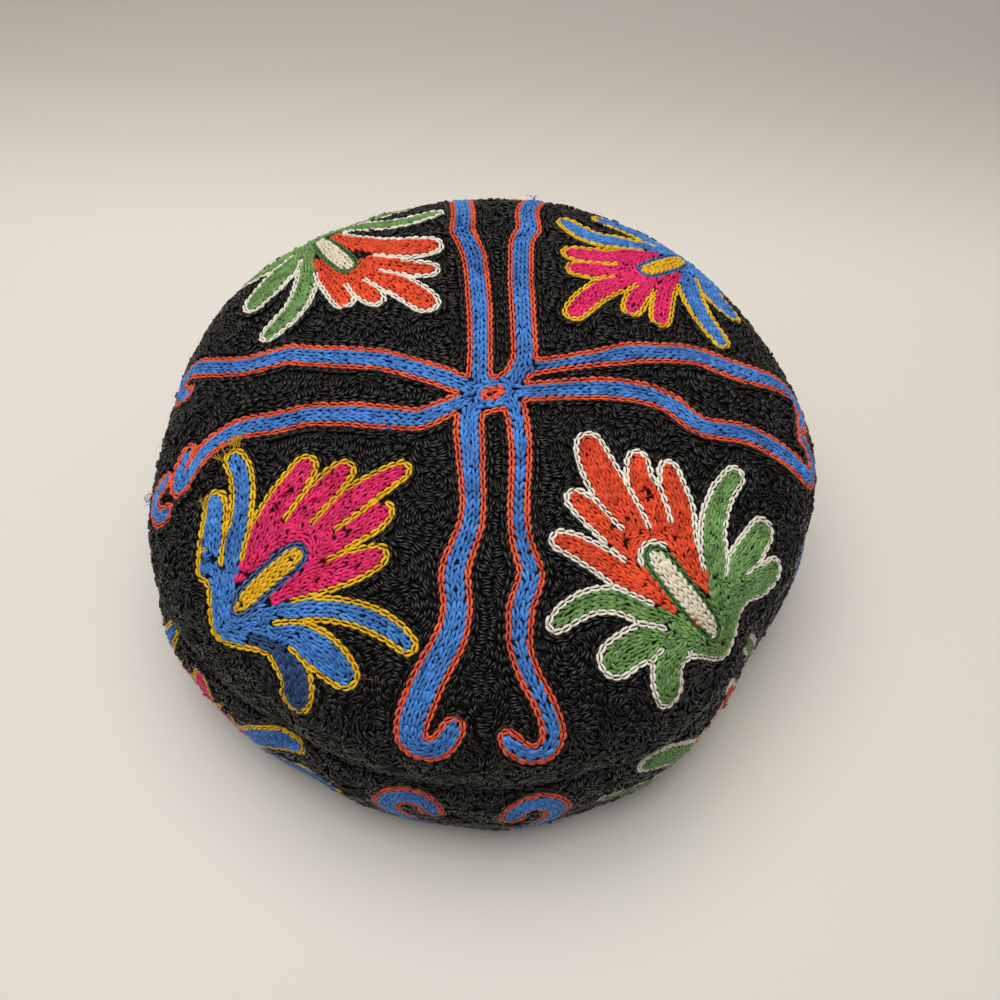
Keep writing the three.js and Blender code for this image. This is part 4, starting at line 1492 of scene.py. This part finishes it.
def fuzz(name, part, many):
    """Short hairs that stand off randomly chosen links, each in its link's thread."""
    chosen = chance.choice(np.flatnonzero(link_chart == part), many, replace=False)
    spots = (link_start[chosen] + link_end[chosen]) / 2 + chance.normal(0, fuzz_stray, (many, 2))
    place, facing, run, rise = charts[part].at(spots)
    angle = chance.uniform(0, 2 * math.pi, many)[:, None]
    aside = unit(run * np.cos(angle) + rise * np.sin(angle))
    bend = unit(run * np.cos(angle + fuzz_turn) + rise * np.sin(angle + fuzz_turn))
    bend = bend * chance.normal(0, fuzz_bend, (many, 1))
    lean = chance.uniform(*fuzz_lean, (many, 1))
    way = unit(aside + facing * lean)
    length = chance.gamma(*fuzz_length, (many, 1)) + fuzz_shortest
    share = np.linspace(0, 1, fuzz_stations)[None, :, None]
    lines = (place + facing * fuzz_lift)[:, None] + way[:, None] * length[:, None] * share
    lines = lines + (bend - facing * lean * fuzz_droop)[:, None] * length[:, None] * share**2
    return hairs(name, lines, np.full(many, fuzz_radius), fuzz_sides, link_thread[chosen])


# Each tuft of loose ends: where it leaves the cloth, the way it lies in degrees, its length, its
# thread and how many ends it has.
tufts = [
    ((-63.2, -17.4), 95.0, 3.0, "yellow", 26), ((-65.8, -20.6), 150.0, 2.2, "yellow", 8),
    ((-68.3, -32.3), 120.0, 2.2, "yellow", 12), ((-23.2, -11.6), 215.0, 3.2, "blue", 8),
    ((10.3, 86.3), 90.0, 3.2, "blue", 7), ((-95.3, -24.6), 180.0, 3.0, "red", 5),
    ((-94.6, -26.2), 165.0, 2.6, "blue", 4), ((53.2, -58.2), 60.0, 2.2, "orange", 7),
]


# A loose end: its steps, how its start and way spread, its shares of the tuft's length, how it curls,
# lifts and arches off the cloth, and its radius
tuft_steps = 6
tuft_spread = 0.5
tuft_shares = (0.55, 1.25)
tuft_curl = 0.8
tuft_base = 0.9
tuft_lift = (0.5, 1.8)
tuft_arch = 2.2
tuft_radius = (0.08, 0.17)
tuft_sides = 4


def loose_thread_ends():
    """The tufts: each end curls on the crown's chart and arches a little off the work."""
    rows = [entry[:4] for entry in tufts for _ in range(entry[4])]
    many = len(rows)
    starts = np.array([row[0] for row in rows]) + chance.normal(0, tuft_spread, (many, 2))
    angle = np.radians([row[1] for row in rows])[:, None] + chance.normal(0, tuft_spread, (many, 1))
    length = np.array([row[2] for row in rows])[:, None] * chance.uniform(*tuft_shares, (many, 1))
    share = np.linspace(0, 1, tuft_steps + 1)
    curl = angle + tuft_curl * chance.normal(0, 1, (many, 1)) * share[None]
    steps = np.stack([np.cos(curl), np.sin(curl)], -1) * (length / tuft_steps)[:, :, None]
    flat = starts[:, None] + np.cumsum(steps, 1)
    lift = chance.uniform(*tuft_lift, many)
    lines = np.zeros((*flat.shape[:2], 3))
    for k in range(many):
        place, facing, _, _ = crown_chart.at(flat[k])
        lines[k] = place + facing * (tuft_base + lift[k] * np.sin(share * tuft_arch))[:, None]
    radius = chance.uniform(*tuft_radius, many)
    return hairs("loose_ends", lines, radius, tuft_sides, [row[3] for row in rows])


crown_hairs = 1000
band_hairs = 600
worked[0] += [fuzz("crown_fuzz", 0, crown_hairs), loose_thread_ends()]
worked[1] += [fuzz("band_fuzz", 1, band_hairs)]


# The floor, the light and the camera

def paper():
    """Pale paper, with painted shade that darkens it a little up the sweep."""
    material = bpy.data.materials.new("pale_paper")
    material.use_nodes = True
    tree = material.node_tree
    shader = tree.nodes["Principled BSDF"]
    place = put(tree, "ShaderNodeTexCoord").outputs["Object"]
    cloud = noise(tree, place, scale=3.0, detail=2.0)
    near_colour = mixed(tree, cloud, screen(234, 229, 220), screen(238, 234, 226))
    # Painted shade: the paper darkens smoothly towards the back, where the sweep rises.
    depth = put(tree, "ShaderNodeSeparateXYZ", {0: place}).outputs["Y"]
    painted_shade_rise = put(
        tree, "ShaderNodeMapRange", {"Value": depth, "From Min": painted_shade_start, "From Max": painted_shade_full}
    )
    painted_shade_rise.interpolation_type = "SMOOTHSTEP"
    painted_shade_colour = mixed(tree, painted_shade_rise.outputs[0], near_colour, screen(188, 179, 172))
    tree.links.new(painted_shade_colour, shader.inputs["Base Color"])
    shader.inputs["Roughness"].default_value = 0.7
    shader.inputs["Specular IOR Level"].default_value = 0.2
    return material


# The paper's sizes, in metres
floor_front = -4.0
floor_half = 4.0
floor_under = 0.2 * mm
sweep_start = 0.17
sweep_radius = 0.3
sweep_top = 1.2
# Where the painted shade on the sweep begins and where it is full, along Y.
painted_shade_start = 0.11
painted_shade_full = 0.27
profile = [(floor_front, 0.0)]
profile += [
    (sweep_start + sweep_radius * math.sin(a), sweep_radius * (1 - math.cos(a)))
    for a in np.linspace(0, math.pi / 2, 25)
]
profile.append((sweep_start + sweep_radius, sweep_top))
corners = [(x, y, z - floor_under) for y, z in profile for x in (-floor_half, floor_half)]
faces = [(2 * k, 2 * k + 1, 2 * k + 3, 2 * k + 2) for k in range(len(profile) - 1)]
made = bpy.data.meshes.new("floor_sweep")
made.from_pydata(corners, [], faces)
made.shade_smooth()
made.materials.append(paper())
sweep = bpy.data.objects.new("floor_sweep", made)
bpy.context.scene.collection.objects.link(sweep)


# One broad lamp above, a little to the left
lamp = bpy.data.lights.new("window_above", "AREA")
lamp.shape = "DISK"
lamp.size = 0.6
lamp.energy = 3.5
lamp.color = (1.0, 0.98, 0.955)
lamp_place = Vector((-0.06, 0.05, 0.66))
lamp_aim = Vector((0, 0, 0.04))
window = bpy.data.objects.new("window_above", lamp)
window.location = lamp_place
window.rotation_euler = (lamp_aim - lamp_place).to_track_quat("-Z", "Y").to_euler()
bpy.context.scene.collection.objects.link(window)

# The room is palest above and behind and at the sides, dark low in front, with a dark patch where the
# camera stands.
pale_way = (-0.12, 0.46, 0.76)
pale_sides = 0.62
pale_full = 0.95
camera_way = (0, -0.48, 0.877)
patch_edge = 0.72
patch_core = 0.97
patch_depth = 0.6
world = bpy.data.worlds.new("pale_room")
world.use_nodes = True
sky = world.node_tree
way = put(sky, "ShaderNodeTexCoord").outputs["Generated"]
sideways = put(sky, "ShaderNodeSeparateXYZ", {0: way}).outputs["X"]
along_pale = put(sky, "ShaderNodeVectorMath", {0: way, 1: pale_way}, operation="DOT_PRODUCT")
height = sum_up(sky, "ABSOLUTE", sideways, 0.0)
height = sum_up(sky, "MULTIPLY_ADD", height, pale_sides, along_pale.outputs["Value"])
height = put(sky, "ShaderNodeMapRange", {"Value": height, "From Min": 0.0, "From Max": pale_full})
room = mixed(sky, height.outputs[0], (0.05, 0.049, 0.046, 1), (0.56, 0.546, 0.532, 1))
facing = put(sky, "ShaderNodeVectorMath", {0: way, 1: camera_way}, operation="DOT_PRODUCT")
patch = put(
    sky,
    "ShaderNodeMapRange",
    {
        "Value": facing.outputs["Value"],
        "From Min": patch_edge,
        "From Max": patch_core,
        "To Max": patch_depth,
    },
)
room = mixed(sky, patch.outputs[0], room, (0.04, 0.04, 0.04, 1))
sky.links.new(room, sky.nodes["Background"].inputs["Color"])
bpy.context.scene.world = world
bpy.context.scene.view_settings.view_transform = "Standard"

camera_height_angle = math.radians(61.25)
camera_roll = math.radians(3.25)
camera_distance = 275.98 * mm
camera_aim = np.array([3.0, -14.77, 54.0]) * mm
back = np.array([0, -math.cos(camera_height_angle), math.sin(camera_height_angle)])
level = np.array([1.0, 0, 0])
upright = np.cross(level, -back)
sideways = level * math.cos(camera_roll) + upright * math.sin(camera_roll)
upwards = -level * math.sin(camera_roll) + upright * math.cos(camera_roll)
stand = camera_aim + back * camera_distance
lens = bpy.data.cameras.new("photograph")
lens.lens = 36.0
lens.sensor_width = 36.0
lens.clip_start = 0.01
camera = bpy.data.objects.new("photograph", lens)
camera.matrix_world = Matrix(
    [(*row, place) for row, place in zip(np.stack([sideways, upwards, back], -1).tolist(), stand.tolist())]
    + [(0, 0, 0, 1)]
)
bpy.context.scene.collection.objects.link(camera)
bpy.context.scene.camera = camera
